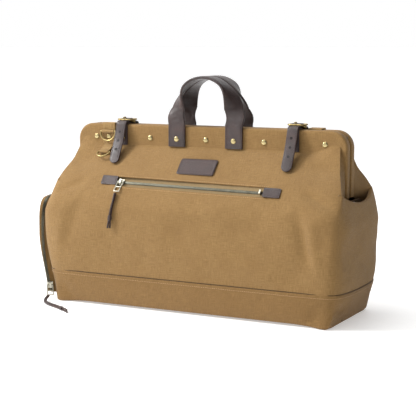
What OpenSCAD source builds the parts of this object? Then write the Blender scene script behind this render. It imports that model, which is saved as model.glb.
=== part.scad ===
// Canvas doctor bag: two hinged frame halves in canvas sleeves, soft panels, leather handles and straps.
// The bag stands on z = 0 with its front facing -Y.

/* [Bag] */
// Length of the body between the bulges of its end walls
bag_length = 578; // [500:2:640]
// Depth of the body at its belly, front to back
bag_depth = 197; // [160:1:240]
// Height of the frame's top edge above the floor
frame_top = 309; // [270:1:350]
// Height of the boot band around the foot of the bag
boot_height = 56; // [35:1:80]
// Thickness of the outer canvas
canvas = 2.5; // [1.5:0.1:4]
// Thickness of the lining
lining_wall = 1; // [0.6:0.1:1.2]
// Thickness of the base board and of the end boards
board = 3; // [2:0.5:5]

/* [Frame] */
// Length of the frame
frame_length = 508; // [440:2:540]
// Height of the stiff band along the frame's top
band_height = 36; // [30:1:45]
// Width of the frame's arms, canvas included
arm_width = 20; // [18:1:26]
// Thickness of one frame half, canvas included
sleeve_depth = 15; // [12:0.5:20]
// Gap between the two closed frame halves
frame_gap = 6; // [5:0.5:10]
// Outer corner radius of the frame
frame_corner = 28; // [22:1:40]
// Width of the steel bar
bar_width = 16; // [12:0.5:17]
// Thickness of the steel bar
bar_depth = 4; // [2:0.5:6]
// Height of the hinge pins above the floor
hinge_height = 190; // [175:1:205]
// Radius of the hinge pins
hinge_pin_r = 3; // [2:0.25:4]
// Thickness of the hinge plates
hinge_plate = 2.5; // [1.5:0.25:3]

/* [Rivets] */
// Spacing of the rivets along the frame
rivet_pitch = 54; // [48:1:58]
// Radius of the rivet heads
rivet_head_r = 4.8; // [3.5:0.1:6]
// Radius of the rivet shanks
rivet_shank_r = 1.6; // [1:0.1:2]

/* [Handles] */
// Width of the handle straps
handle_width = 32; // [25:1:38]
// Thickness of the handle straps
handle_leather = 4; // [3:0.5:6]
// Height of a handle's arch above the frame
handle_rise = 83; // [70:1:110]

/* [Closure straps] */
// Width of the closure straps
strap_width = 19; // [16:0.5:22]
// Thickness of the closure straps
strap_leather = 2.4; // [2:0.1:3]
// Radius of the buckle's centre bar
buckle_bar_r = 1.5; // [1.2:0.1:1.8]

/* [Rings and webbing] */
// Width of the webbing tabs
webbing_width = 25; // [20:1:30]
// Radius of the ring wire
ring_wire_r = 1.6; // [1.2:0.1:2]

/* [Zips] */
// Length of the front zip between its leather tabs
zip_length = 278; // [220:2:320]
// Height of the front zip above the floor
zip_height = 213; // [205:1:218]
// Distance of the front zip's middle from the bag's middle, to the left
zip_shift = -4; // [-20:1:20]
// Height of the opening cut for the front zip
zip_slot = 20; // [16:1:22]
// Fall of the front zip to the right, in degrees
zip_fall = 1; // [0:0.5:2]
// Width of a zip chain
chain_width = 5.5; // [4:0.5:8]
// How far the end pocket stands off the end wall
pocket_stand_off = 14; // [8:0.5:16]

/* [Hidden] */
$fn = 48;
gap = 0.4;                 // clearance between soft pieces that move past each other
fit = 0.05;                // running clearance of a pin in its bore
half_length = bag_length / 2;
half_depth = bag_depth / 2;
belly_z = 120;             // height of the widest level
foot_narrowing = 0.11;     // share of the depth lost between belly and foot
end_narrowing = 0.093;     // share of the length lost between belly and foot
flatness_x = 30;           // how straight the front and back walls run
flatness_y = 2.6;          // how round the end walls are
corner_share = 0.9;        // where the end walls meet the front and back walls
shoulder_z = hinge_height - 22;
ridge_z = hinge_height + 4;
crown_z = frame_top - band_height; // where the panels meet the frame's face
crease_z = zip_height + 13; // where the canvas folds when the frame opens
crown_curve = 1.45;        // fullness of the panels above the shoulder
face_y = frame_gap / 2 + sleeve_depth;
bar_y = frame_gap / 2 + sleeve_depth / 2;
arm_x = frame_length / 2 - arm_width / 2;
rivet_z = frame_top - 22.5;
handle_x = rivet_pitch;
strap_x = 3 * rivet_pitch;
webbing_x = 3.52 * rivet_pitch;

// Half the depth and half the length of the body at a height
function belly(z) = (z - belly_z) / belly_z;
function wall_y(z) = half_depth * (1 - foot_narrowing * pow(belly(z), 2));
function wall_x(z) = half_length * (1 - end_narrowing * pow(belly(z), 2));
// Distance of the closed bag's front face from the middle plane above the shoulder
function rise(z) = min(1, max(0, (z - shoulder_z) / (crown_z - shoulder_z)));
function panel_y(z) = face_y + (wall_y(shoulder_z) - face_y) * (1 - pow(rise(z), crown_curve));
function panel_tilt(z) = atan2(panel_y(z - 10) - panel_y(z + 10), 20);

// Where the front wall's outline ends and the end wall's begins
function corner_y(z, inset) = corner_share * (wall_y(z) - inset);
function corner_x(z, inset) =
    (wall_x(z) - inset) * pow(1 - pow(corner_share, flatness_y), 1 / flatness_x);
function front_point(z, inset, s) =
    let(x = s * corner_x(z, inset))
    [x, -(wall_y(z) - inset) * pow(1 - pow(abs(x) / (wall_x(z) - inset), flatness_x), 1 / flatness_y), z];
function end_point(z, inset, s) =
    let(y = s * corner_y(z, inset))
    [(wall_x(z) - inset) * pow(1 - pow(abs(y) / (wall_y(z) - inset), flatness_y), 1 / flatness_x), y, z];
function span(n) = [for (i = [0:n]) -1 + 2 * i / n];
function front_row(z, inset, n = 14) = [for (s = span(n)) front_point(z, inset, s)];
function end_row(z, inset, n = 14, reach = 1) = [for (s = span(n)) end_point(z, inset, s * reach)];
function ring_at(z, inset) = let(f = front_row(z, inset), e = end_row(z, inset), n = len(f) - 1)
    concat([for (i = [0:n - 1]) f[i]], [for (i = [0:n - 1]) e[i]],
           [for (i = [0:n - 1]) -f[i] + [0, 0, 2 * z]], [for (i = [0:n - 1]) -e[i] + [0, 0, 2 * z]]);
function levels(low, high, n) = [for (i = [0:n]) low + (high - low) * i / n];

// ---------- shapes that repeat ----------

// A thin curved sheet between two grids of points with the same rows
module sheet(outer, inner) {
    rows = len(outer);
    cols = len(outer[0]);
    n = rows * cols;
    points = concat([for (r = outer) each r], [for (r = inner) each r]);
    side = [for (j = [0:rows - 2], i = [0:cols - 2])
        let(a = j * cols + i) [a, a + 1, a + cols + 1, a + cols]];
    edges = concat(
        [for (i = [0:cols - 2]) [i, i + n, i + 1 + n, i + 1]],
        [for (i = [0:cols - 2]) let(b = (rows - 1) * cols + i) [b + 1, b + 1 + n, b + n, b]],
        [for (j = [0:rows - 2]) let(a = j * cols) [a + cols, a + cols + n, a + n, a]],
        [for (j = [0:rows - 2]) let(a = j * cols + cols - 1) [a, a + n, a + cols + n, a + cols]]);
    polyhedron(points, concat(
        [for (f = side, t = [0, 1]) t == 0 ? [f[2], f[1], f[0]] : [f[3], f[2], f[0]]],
        [for (f = side, t = [0, 1]) t == 0 ? [f[0] + n, f[1] + n, f[2] + n] : [f[0] + n, f[2] + n, f[3] + n]],
        [for (f = edges, t = [0, 1]) t == 0 ? [f[2], f[1], f[0]] : [f[3], f[2], f[0]]]));
}

// A flat strip that follows a path; across and out are its width and thickness directions
module strip(path, across, out, width, thick) {
    function corner(i, a, b) = path[i] + across[i] * a * width / 2 + out[i] * b * thick / 2;
    last = len(path) - 1;
    points = [for (i = [0:last]) each [corner(i, -1, -1), corner(i, 1, -1), corner(i, 1, 1), corner(i,
        -1, 1)]];
    sides = [for (i = [0:last - 1], k = [0:3])
        let(a = 4 * i + k, b = 4 * i + (k + 1) % 4) each [[a, a + 4, b + 4], [a, b + 4, b]]];
    polyhedron(points, concat(sides, [[0, 1, 2], [0, 2, 3]],
        [[4 * last + 2, 4 * last + 1, 4 * last], [4 * last + 3, 4 * last + 2, 4 * last]]));
}

// Rings of points joined in order; the ends are capped, or the last ring joins the first
module ring_skin(rings, capped) {
    n = len(rings[0]);
    count = len(rings);
    sides = [for (j = [0:count - (capped ? 2 : 1)], i = [0:n - 1])
        let(a = j * n + i, b = j * n + (i + 1) % n, c = (a + n) % (n * count), d = (b + n) % (n * count))
        each [[a, c, d], [a, d, b]]];
    caps = capped ? [[for (i = [0:n - 1]) i], [for (i = [n - 1:-1:0]) (count - 1) * n + i]] : [];
    polyhedron([for (r = rings) each r], concat(sides, caps));
}

function unit(v) = v / norm(v);
function heading(path, i) = unit(path[min(i + 1, len(path) - 1)] - path[max(i - 1, 0)]);

// A strip of even width along X whose path lies in a plane across the bag
module lengthwise_strip(x, yz, width, thick) {
    path = [for (p = yz) [x, p[0], p[1]]];
    strip(path, [for (p = path) [1, 0, 0]],
        [for (i = [0:len(path) - 1]) cross(heading(path, i), [1, 0, 0])], width, thick);
}

// A round cord through points chosen by hand
module cord(route, r, sides = 8) {
    last = len(route) - 1;
    function tangent(i) = heading(route, i);
    function side_of(i) = unit(cross(tangent(i), [0.31, 0.17, 0.93]));
    function ring_point(i, k) = let(u = side_of(i), v = cross(tangent(i), u), a = 360 * k / sides)
        route[i] + r * (cos(a) * u + sin(a) * v);
    points = [for (i = [0:last], k = [0:sides - 1]) ring_point(i, k)];
    polyhedron(points, concat(
        [for (i = [0:last - 1], k = [0:sides - 1])
            let(a = i * sides + k, b = i * sides + (k + 1) % sides)
            each [[a, a + sides, b + sides], [a, b + sides, b]]],
        [[for (k = [0:sides - 1]) k]], [[for (k = [sides - 1:-1:0]) last * sides + k]]));
}

// The closed outline with two round top corners, drawn upright
module round_top(w, low, high, r) {
    translate([-w / 2, low]) square([w, high - r - low]);
    translate([-w / 2 + r, low]) square([w - 2 * r, high - low]);
    for (s = [-1, 1]) translate([s * (w / 2 - r), high - r]) circle(r);
}

// An upside-down U of sheet between two depths
module frame_u(length, top, r, side, band, low, y0, y1) {
    translate([0, y1, 0]) rotate([90, 0, 0]) linear_extrude(y1 - y0) difference() {
        round_top(length, low, top, r);
        round_top(length - 2 * side, low - 1, top - band, max(2, r - side));
    }
}

module both_ends() {
    children();
    mirror([1, 0, 0]) children();
}

module to_back() {
    rotate([0, 0, 180]) children();
}

// ---------- body of the bag ----------

module base_board() {
    inset = canvas + lining_wall + 2;
    color("#3b3026") translate([0, 0, canvas + gap]) linear_extrude(board) offset(r = 12)
        square([2 * corner_x(0, inset) - 34, 2 * corner_y(0, inset) - 34], center = true);
}

module boot() {
    rings = concat([for (z = levels(0, boot_height, 4)) ring_at(z, 0)],
        [for (z = levels(boot_height, canvas, 4)) ring_at(z, canvas)]);
    color("#9a7446") ring_skin(rings, true);
}

// From the boot up to the crease, with a cheek folded in at each end above the shoulder
function wall_row(z, inset) = z <= shoulder_z ? front_row(z, inset) : panel_row(z, inset);
module lower_wall() {
    z = concat(levels(boot_height, shoulder_z, 5), levels(shoulder_z + 8, crease_z, 4));
    sheet([for (h = z) wall_row(h, 0)], [for (h = z) wall_row(h, canvas)]);
}

module front_wall() {
    color("#ab8250") difference() {
        lower_wall();
        on_zip() cube([zip_length, 30, zip_slot], center = true);
    }
}

module back_wall() {
    color("#8a6639") to_back() lower_wall();
}

module right_end_wall() {
    z = levels(boot_height, ridge_z, 7);
    color("#8a6639") sheet([for (h = z) end_row(h, 0)], [for (h = z) end_row(h, canvas)]);
}

module left_end_wall() {
    to_back() right_end_wall();
}

module lining() {
    outer = canvas + gap;
    low = board + canvas + 3 * gap;
    top = shoulder_z - 10;
    color("#6f6558") ring_skin(concat([for (z = levels(low, top, 6)) ring_at(z, outer)],
        [for (z = levels(top, low, 6)) ring_at(z, outer + lining_wall)]), false);
}

end_board_x = frame_length / 2 + 2.5;
module end_boards() {
    low = canvas + 2 * gap + board;
    width = 0.94 * half_depth;
    color("#3b3026") both_ends() translate([end_board_x, 0, 0]) difference() {
        rotate([90, 0, 90]) linear_extrude(board) round_top(width, low, hinge_height + 7, 18);
        translate([-1, 0, hinge_height]) rotate([0, 90, 0]) cylinder(r = hinge_pin_r, h = board + 2);
    }
}

plate_out_x = arm_x + 3.2;
plate_in_x = arm_x - 3.2;
module hinge_pins() {
    start = plate_in_x - hinge_plate / 2 - 2.5;
    color("#b9bcc0") both_ends() translate([start, 0, hinge_height]) rotate([0, 90, 0]) {
        cylinder(r = hinge_pin_r - fit, h = end_board_x - 0.5 - start);
        translate([0, 0, end_board_x - 0.5 - start]) cylinder(r = hinge_pin_r, h = board + 0.5);
        translate([0, 0, end_board_x + board - start]) cylinder(r = 5, h = 1.6);
        translate([0, 0, -1.6]) cylinder(r = 5, h = 1.6);
    }
}

// ---------- frame halves ----------

module front_bar() {
    clear = (arm_width - bar_width) / 2;
    color("#c2c4c6") difference() {
        frame_u(frame_length - 2 * clear, frame_top - clear, frame_corner - clear, bar_width,
            band_height / 2 + 5,
            hinge_height + 14, -bar_y - bar_depth / 2, -bar_y + bar_depth / 2);
        rivet_holes();
    }
}

module rivet_holes() {
    for (x = concat([for (k = [-4:4]) k * rivet_pitch], [-webbing_x])) translate([x, -face_y - 1, rivet_z])
        rotate([-90, 0, 0]) cylinder(r = rivet_shank_r, h = sleeve_depth + 2);
}

module front_sleeve() {
    clear = (arm_width - bar_width) / 2 - 0.2;
    color("#a67d4c") difference() {
        frame_u(frame_length, frame_top, frame_corner, arm_width, band_height, hinge_height + 12,
            -face_y, -frame_gap / 2);
        frame_u(frame_length - 2 * clear, frame_top - clear, frame_corner - clear, bar_width + 0.4,
            band_height / 2 + 5.4, hinge_height + 11, -bar_y - bar_depth / 2 - 0.2,
                -bar_y + bar_depth / 2 + 0.2);
        rivet_holes();
    }
}

// A flat plate from the hinge pin up to the frame's bar, at one side of the arm
module hinge_plates(x) {
    color("#c2c4c6") both_ends() translate([x - hinge_plate / 2, 0, 0]) difference() {
        rotate([90, 0, 90]) linear_extrude(hinge_plate) {
            translate([0, hinge_height]) circle(hinge_pin_r + 3.5);
            polygon([[-hinge_pin_r - 2, hinge_height - 2], [hinge_pin_r - 1, hinge_height + 4],
                [-bar_y + bar_depth / 2, hinge_height + 12.5], [-bar_y - bar_depth / 2, hinge_height + 11]]);
            translate([-bar_y - bar_depth / 2, hinge_height + 11]) square([bar_depth, 3]);
        }
        translate([-1, 0, hinge_height]) rotate([0, 90, 0]) cylinder(r = hinge_pin_r, h = hinge_plate + 2);
    }
}

module front_hinge_plates() {
    hinge_plates(plate_out_x);
}

module back_hinge_plates() {
    mirror([0, 1, 0]) hinge_plates(plate_in_x);
}

// A level of the sloping canvas above the shoulder, with a cheek folded back at each end
cheek_x = corner_x(shoulder_z, 0) - 6;
function panel_row(z, inset) =
    let(y = max(panel_y(z) - inset, face_y + gap + 0.4 * (canvas - inset)),
        w = cheek_x - (cheek_x - frame_length / 2 - canvas - gap) * rise(z) - inset,
        back = max(face_y - 2 + inset, y - 4 - (y - face_y) * min(1, rise(z) * 3)))
    concat([[-w, -back, z], [-w, -(back + y) / 2, z]], [for (s = span(10)) [s * (w - 3), -y, z]],
        [[w, -(back + y) / 2, z], [w, -back, z]]);

// The soft panel between the crease and the frame's face
module upper_panel() {
    z = levels(crease_z + gap, crown_z - gap, 5);
    sheet([for (h = z) panel_row(h, 0)], [for (h = z) panel_row(h, canvas)]);
}

// Places a flat fitting on the front panel: local X runs along the bag and local -Y points out
module on_panel(z, x = 0) {
    translate([x, -panel_y(z), z]) rotate([-panel_tilt(z), 0, 0]) children();
}

module on_zip() {
    on_panel(zip_height, zip_shift) rotate([0, zip_fall, 0]) children();
}

module front_panel() {
    color("#b58b58") upper_panel();
}

module back_panel() {
    color("#8a6639") to_back() upper_panel();
}

module left_web() {
    mirror([1, 0, 0]) right_web();
}

// The folded web that closes each end between the two frame arms
module right_web() {
    low = ridge_z + 8;
    high = frame_top - 34;
    z = levels(low, high, 4);
    function fold(h, t) = let(out = 1 - (h - low) / (high - low))
        [for (y = [-frame_gap / 2 - 6, 0, frame_gap / 2 + 6])
            [frame_length / 2 + 0.8 + t + (y == 0 ? 2 : 7) * out, y, h]];
    color("#6d4f2c") sheet([for (h = z) fold(h, 1.2)], [for (h = z) fold(h, 0)]);
}

// ---------- rivets and leather on the frame ----------

// A domed rivet through one frame half; cover is the thickness of the leather under its head
module rivet(x, cover) {
    translate([x, 0, rivet_z]) rotate([90, 0, 0]) {
        translate([0, 0, frame_gap / 2 - 0.8]) cylinder(r = rivet_shank_r, h = sleeve_depth + cover + 1);
        translate([0, 0, frame_gap / 2 - 1.2]) cylinder(r = 4, h = 1.2);
        translate([0, 0, face_y + cover]) intersection() {
            translate([0, 0, -3.4]) sphere(r = sqrt(pow(rivet_head_r, 2) + pow(3.4, 2)));
            cylinder(r = rivet_head_r, h = 6);
        }
    }
}

function cover_at(k) = abs(k) == 1 ? handle_leather : abs(k) == 3 ? strap_leather + 0.6 : 0;
module front_rivets() {
    color("#b89a5e") {
        for (k = [-4:4]) rivet(k * rivet_pitch, cover_at(k));
        rivet(-webbing_x, webbing + 0.1);
    }
}

module back_rivets() {
    to_back() front_rivets();
}

tab_low = frame_top - band_height + 0.4;
tab_high = frame_top - 8;
handle_bend = 5;           // length of the soft bend between a tab and its handle
module front_handle_tabs() {
    color("#3d2a22") both_ends() translate([handle_x, -face_y, 0]) difference() {
        translate([-handle_width / 2, -handle_leather, tab_low]) cube([handle_width, handle_leather,
            tab_high - tab_low]);
        translate([0, 1, rivet_z]) rotate([90, 0, 0]) cylinder(r = rivet_shank_r, h = handle_leather + 2);
    }
}

module back_handle_tabs() {
    to_back() front_handle_tabs();
}

// The handle leaves its tabs flat, turns a quarter as it rises and arches over
handle_turn = 80;          // length of strap over which it turns
module front_handle() {
    root_z = tab_high + handle_bend;
    arch_r = handle_x - 2;
    spring_z = frame_top + handle_rise - arch_r;
    y0 = -face_y - handle_leather / 2;
    y1 = -handle_width / 2 - 1.2;
    leg_n = 7;
    arch_step = 15;
    clear_z = frame_top + 4;
    leg = concat([[-handle_x, y0, root_z]], [for (i = [0:leg_n - 1]) let(t = i / (leg_n - 1))
        [-handle_x - 3 * sin(180 * t) + 2 * t, y0 + (y1 - y0) * t, clear_z + (spring_z - clear_z) * t]]);
    arch = [for (a = [arch_step:arch_step:180 - arch_step]) [-arch_r * cos(a), y1,
        spring_z + arch_r * sin(a)]];
    path = concat(leg, arch, [for (i = [leg_n:-1:0]) [-leg[i][0], leg[i][1], leg[i][2]]]);
    last = len(path) - 1;
    function run(i) = i <= leg_n ? max(0, path[i][2] - clear_z)
        : spring_z - clear_z + arch_r * arch_step * (i - leg_n) * PI / 180;
    function turned(i) = let(t = min(1, run(min(i, last - i)) / handle_turn)) 90 * t * t * (3 - 2 * t);
    across = [for (i = [0:last]) [(i * 2 < last ? -1 : 1) * cos(turned(i)), sin(turned(i)), 0]];
    outs = [for (i = [0:last]) unit(cross(heading(path, i), across[i]))];
    color("#46302a") strip(path, across, outs, handle_width, handle_leather);
}

module back_handle() {
    to_back() front_handle();
}

// ---------- closure straps and buckles ----------

buckle_y = -frame_gap / 2;
buckle_z = frame_top + 4;
buckle_wide = strap_width + 12;
buckle_deep = 27;
buckle_lift = 3.8;
sleeve_r = buckle_bar_r + 1.9;
over_z = buckle_z + sleeve_r + strap_leather / 2 + 0.2;

// Closure strap: riveted behind, over both frame halves, through the buckle and down the front
lap = strap_leather / 2 + 0.3;
tip_z = frame_top - 57;
hole_pitch = 14.5;
tail_stand = 8;            // gap behind the loose tail, at its tip
tail_tilt = atan2(panel_y(tip_z) + tail_stand - face_y - 8, frame_top - 6 - tip_z);
function strap_path() = [[face_y + lap, rivet_z - 11], [face_y + lap, frame_top - 5],
    [face_y + lap + 0.5, frame_top - 0.5],
    [face_y + 0.6, frame_top + 2.2], [face_y - 3, frame_top + 3.2], [buckle_y + 11, frame_top + 4.7],
    [buckle_y + 6.5, over_z - 1.6], [buckle_y + 1.5, over_z], [buckle_y - 1.5, over_z], [buckle_y - 5,
        over_z - 0.9],
    [buckle_y - 9.5, frame_top + 4.9], [-face_y - 1.8, frame_top + 4.8], [-face_y - 5.4, frame_top + 1.6],
    [-face_y - 8, frame_top - 6], [-panel_y(tip_z) - tail_stand, tip_z]];

module closure_strap(x) {
    color("#4a342d") difference() {
        union() {
            lengthwise_strip(x, strap_path(), strap_width, strap_leather);
            // rounded tip
            translate([x, -panel_y(tip_z) - tail_stand, tip_z]) rotate([90 - tail_tilt, 0, 0])
                cylinder(r = strap_width / 2 - 0.05, h = strap_leather - 0.1, center = true);
        }
        translate([x, buckle_y - 6.3, frame_top]) cylinder(r = 1.8, h = 20);
        for (k = [1:3]) translate([x, -face_y - 4, tip_z + k * hole_pitch]) rotate([90, 0, 0])
            cylinder(r = 1.8, h = 40);
        translate([x, face_y - 1, rivet_z]) rotate([-90, 0, 0]) cylinder(r = rivet_shank_r, h = 6);
    }
}

module left_strap() {
    closure_strap(-strap_x);
}

module right_strap() {
    closure_strap(strap_x);
}

// Leather chape: riveted in front, over the front frame half and round the buckle's bar
module buckle_chapes() {
    color("#4a342d") both_ends() difference() {
        union() {
            lengthwise_strip(strap_x, [[-face_y - lap + 0.3, rivet_z - 13], [-face_y - lap + 0.3,
                frame_top - 6],
                [-face_y - lap - 0.4, frame_top - 0.4], [-face_y - 0.4, frame_top + 1.9],
                [-face_y + 3, frame_top + 1.9], [buckle_y - 2, frame_top + 1.8]], strap_width, strap_leather);
            translate([strap_x - strap_width / 2, buckle_y, buckle_z]) rotate([0, 90, 0])
                cylinder(r = sleeve_r, h = strap_width);
        }
        translate([strap_x - strap_width, buckle_y, buckle_z]) rotate([0, 90, 0])
            cylinder(r = buckle_bar_r + fit, h = 2 * strap_width);
        translate([strap_x - 2.4, buckle_y - 8, frame_top + 0.1]) cube([4.8, 13, 12]);
        translate([strap_x, -face_y + 1, rivet_z]) rotate([90, 0, 0]) cylinder(r = rivet_shank_r, h = 6);
    }
}

// A rounded rectangle of wire round a middle bar, a little higher than the bar
buckle_wire = 1.4;
buckle_corner = 7;
module buckle(x) {
    w = buckle_wide / 2 - buckle_wire;
    d = buckle_deep / 2 - buckle_wire;
    color("#8f7a4c") translate([x, buckle_y, buckle_z]) {
        translate([0, 0, buckle_lift]) for (sx = [-1, 1], sy = [-1, 1]) scale([sx, sy, 1]) {
            translate([w - buckle_corner, d - buckle_corner, 0]) rotate_extrude(angle = 90)
                translate([buckle_corner, 0]) circle(buckle_wire);
            translate([-0.1, d, 0]) rotate([0, 90, 0]) cylinder(r = buckle_wire, h = w - buckle_corner + 0.1);
            translate([w, -0.1, 0]) rotate([-90, 0, 0]) cylinder(r = buckle_wire, h = d - buckle_corner + 0.1);
        }
        for (sx = [-1, 1]) translate([sx * w, 0, -buckle_bar_r])
            cylinder(r = buckle_wire + 0.2, h = buckle_lift + buckle_bar_r);
        translate([-w, 0, 0]) rotate([0, 90, 0]) cylinder(r = buckle_bar_r, h = 2 * w);
    }
}

module rounded(w, d, r) {
    square([w - 2 * r, d], center = true);
    square([w, d - 2 * r], center = true);
    for (sx = [-1, 1], sy = [-1, 1]) translate([sx * (w / 2 - r), sy * (d / 2 - r)]) circle(r);
}

module left_buckle() {
    buckle(-strap_x);
}

module right_buckle() {
    buckle(strap_x);
}

prong_r = 1.1;
module prong(x) {
    arm_z = over_z + strap_leather / 2 + prong_r + 0.5;
    color("#a48d58") translate([x, buckle_y, buckle_z]) {
        rotate([0, 90, 0]) difference() {
            cylinder(r = sleeve_r - 0.1, h = 4, center = true);
            cylinder(r = buckle_bar_r + fit, h = 5, center = true);
        }
        translate([0, -buckle_bar_r - 1.2, 0]) union() {
            translate([0, -3.6, 0]) cylinder(r = prong_r, h = arm_z - buckle_z + 0.1);
            translate([-prong_r, -3.6, -prong_r]) cube([2 * prong_r, 3.4, 2 * prong_r]);
            translate([0, 0.4 - 3.6, arm_z - buckle_z]) rotate([90, 0, 0]) cylinder(r = prong_r, h = 7.6);
        }
    }
}

module left_prong() {
    prong(-strap_x);
}

module right_prong() {
    prong(strap_x);
}

// ---------- webbing tabs and rings ----------

webbing = 1.5;
upper_inner = webbing_width + 1;
lower_inner = webbing_width - 5;
upper_ring = [-face_y - 4.6, frame_top - 13];
lower_ring = [-panel_y(261) - 5.6, 261];
ring_sleeve_r = ring_wire_r + webbing + 0.3;

module webbing_tab() {
    path = [[-frame_gap / 2 + webbing / 2 + 0.1, rivet_z + 5], [-frame_gap / 2 + webbing / 2 + 0.1,
        frame_top + 0.2],
        [-frame_gap / 2 - 0.8, frame_top + webbing / 2 + 0.5], [-face_y + 0.8, frame_top + webbing / 2 + 0.5],
        [-face_y - webbing / 2 - 0.1, frame_top + 0.2], [-face_y - webbing / 2 - 0.1, crown_z + 2]];
    fall = [[-face_y - webbing / 2 - 0.3, crown_z + 2], [-panel_y(crown_z - 6) - webbing - 1.6, crown_z - 6],
        [lower_ring[0] + 2.4, lower_ring[1] + 2]];
    color("#b08b58") difference() {
        union() {
            lengthwise_strip(-webbing_x, path, webbing_width, webbing);
            lengthwise_strip(-webbing_x, fall, lower_inner - 1, webbing);
            for (p = [upper_ring, lower_ring]) translate([-webbing_x - 9, p[0], p[1]]) rotate([0, 90, 0])
                cylinder(r = ring_sleeve_r, h = 18);
        }
        for (p = [upper_ring, lower_ring]) translate([-webbing_x - 20, p[0], p[1]]) rotate([0, 90, 0])
            cylinder(r = ring_wire_r + 0.1, h = 40);
        translate([-webbing_x, -face_y + 1, rivet_z]) rotate([90, 0, 0]) cylinder(r = rivet_shank_r, h = 6);
    }
}

module front_webbing() {
    webbing_tab();
}

module back_webbing() {
    to_back() webbing_tab();
}

// A D of round wire: a straight bar in the webbing's fold and a half circle that hangs below it
module d_ring(p, inner, tilt) {
    r = inner / 2 + ring_wire_r;
    color("#b79c62") translate([-webbing_x, p[0], p[1]]) rotate([tilt, 0, 0]) {
        translate([-r, 0, 0]) rotate([0, 90, 0]) cylinder(r = ring_wire_r, h = 2 * r);
        for (s = [-1, 1]) translate([s * r, 0, 0]) {
            sphere(r = ring_wire_r);
            translate([0, 0, -2]) cylinder(r = ring_wire_r, h = 2);
        }
        translate([0, 0, -2]) rotate([90, 0, 0]) rotate_extrude(angle = -180) translate([r, 0])
            circle(ring_wire_r);
    }
}

upper_hang = -8;          // the rings lie back against the webbing and the sloping panel
lower_hang = -60;
module front_upper_ring() {
    d_ring(upper_ring, upper_inner, upper_hang);
}

module front_lower_ring() {
    d_ring(lower_ring, lower_inner, lower_hang);
}

module back_upper_ring() {
    to_back() front_upper_ring();
}

module back_lower_ring() {
    to_back() front_lower_ring();
}

// ---------- label, front zip and pocket ----------

label_z = 243;
module label_patch() {
    color("#3f2c24") on_panel(label_z) rotate([90, 0, 0]) linear_extrude(2)
        rounded(69, 33, 3);
}

tape_drop = 4.2;           // the zip lies this far behind the panel's face
module front_zip_tape() {
    color("#c0a878") on_zip() translate([-zip_length / 2 - 8, tape_drop, -13]) difference() {
        cube([zip_length + 16, 1, 26]);
        translate([12, -1, 13 - chain_width / 2]) cube([zip_length - 8, 3, chain_width]);
    }
}

module front_zip_chain() {
    color("#8c8468") on_zip() translate([-zip_length / 2 + 4, tape_drop - 0.8, -chain_width / 2 + 0.1])
        cube([zip_length - 8, 2.4, chain_width - 0.2]);
}

// Leather tabs over both ends of the zip
module front_zip_tabs() {
    color("#46302a") on_zip() for (s = [-1, 1]) translate([s * (zip_length / 2 + 14), -0.6, 0])
        rotate([90, 0, 0]) linear_extrude(2) rounded(30, 17, 2);
}

module front_zip_stop() {
    color("#b8bab8") on_zip() translate([zip_length / 2 - 7.5, 0.2, 0]) difference() {
        cube([3, 4.6, 7.4], center = true);
        translate([0, 4.2, 0]) cube([4, 4, chain_width], center = true);
    }
}

// Inner pocket that hangs upright behind the front zip, its mouth towards the zip
pocket_wall = 1;
pocket_bag_deep = 9;
pocket_bag_low = 128;
module pocket_bag() {
    mouth_top = zip_height + 9;
    face = -panel_y(zip_height) + tape_drop + 9.5;
    color("#6f6558") difference() {
        translate([-zip_length / 2 - 6, face, pocket_bag_low])
            cube([zip_length + 12, pocket_bag_deep, mouth_top + 4 - pocket_bag_low]);
        translate([-zip_length / 2 - 6 + pocket_wall, face + pocket_wall, pocket_bag_low + pocket_wall])
            cube([zip_length + 12 - 2 * pocket_wall, pocket_bag_deep - 2 * pocket_wall,
                mouth_top + 4 - pocket_bag_low - 2 * pocket_wall]);
        translate([-zip_length / 2 + 4, face - 1, mouth_top - 16]) cube([zip_length - 8, 4, 16]);
    }
}

slider_x = -zip_length / 2 + 8;
// Zip slider: a body over the chain, which runs along X, with a bridge whose eye is turned to suit the pull
module slider_shape(turn) {
    difference() {
        translate([-5.5, -3, -5]) cube([11, 3, 10]);
        translate([-6.5, -2.1, -chain_width / 2 - 1.1]) cube([13, 3.3, chain_width + 2.2]);
    }
    rotate([0, turn, 0]) difference() {
        translate([-1.6, -6.6, -4]) cube([3.2, 3.8, 8]);
        translate([-3, -4.8, 0]) rotate([0, 90, 0]) cylinder(r = 1.2, h = 6);
    }
}

module front_zip_slider() {
    color("#b5b7b2") on_zip() translate([slider_x, tape_drop - 0.1, 0]) slider_shape(0);
}

pull_y = tape_drop - 0.1 - 4.8;
// Rectangular wire pull that swings on the slider's bridge
module pull_shape(length) {
    color("#a9a692") {
        translate([-5, 0, 0]) rotate([0, 90, 0]) cylinder(r = 1, h = 10);
        for (s = [-1, 1]) translate([s * 5, 0, -length]) cylinder(r = 1, h = length);
        for (s = [-1, 1], h = [0, -length]) translate([s * 5, 0, h]) sphere(r = 1);
        for (h = [-length, -length * 0.55]) translate([-5, 0, h]) rotate([0, 90, 0]) cylinder(r = 1, h = 10);
    }
}

// The pull hangs a little flatter than the panel, clear of the canvas
pull_hang = 6;
front_pull_length = 21;
end_pull_length = 17;
module front_zip_pull() {
    on_zip() translate([slider_x, pull_y, 0]) rotate([-pull_hang, 0, 0]) pull_shape(front_pull_length);
}

thong_r = 2.4;
front_thong_route = [[-135.3, -90.4, 196.6], [-135.6, -93.3, 191.2], [-136, -96, 185], [-137, -98.4, 178],
    [-138, -100.2, 170], [-139, -101.4, 162], [-140, -101.9, 154], [-141, -102.2, 146], [-142, -102.4, 138]];
module front_thong() {
    color("#3a2620") cord(front_thong_route, thong_r);
}

// ---------- pocket on the left end ----------

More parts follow.
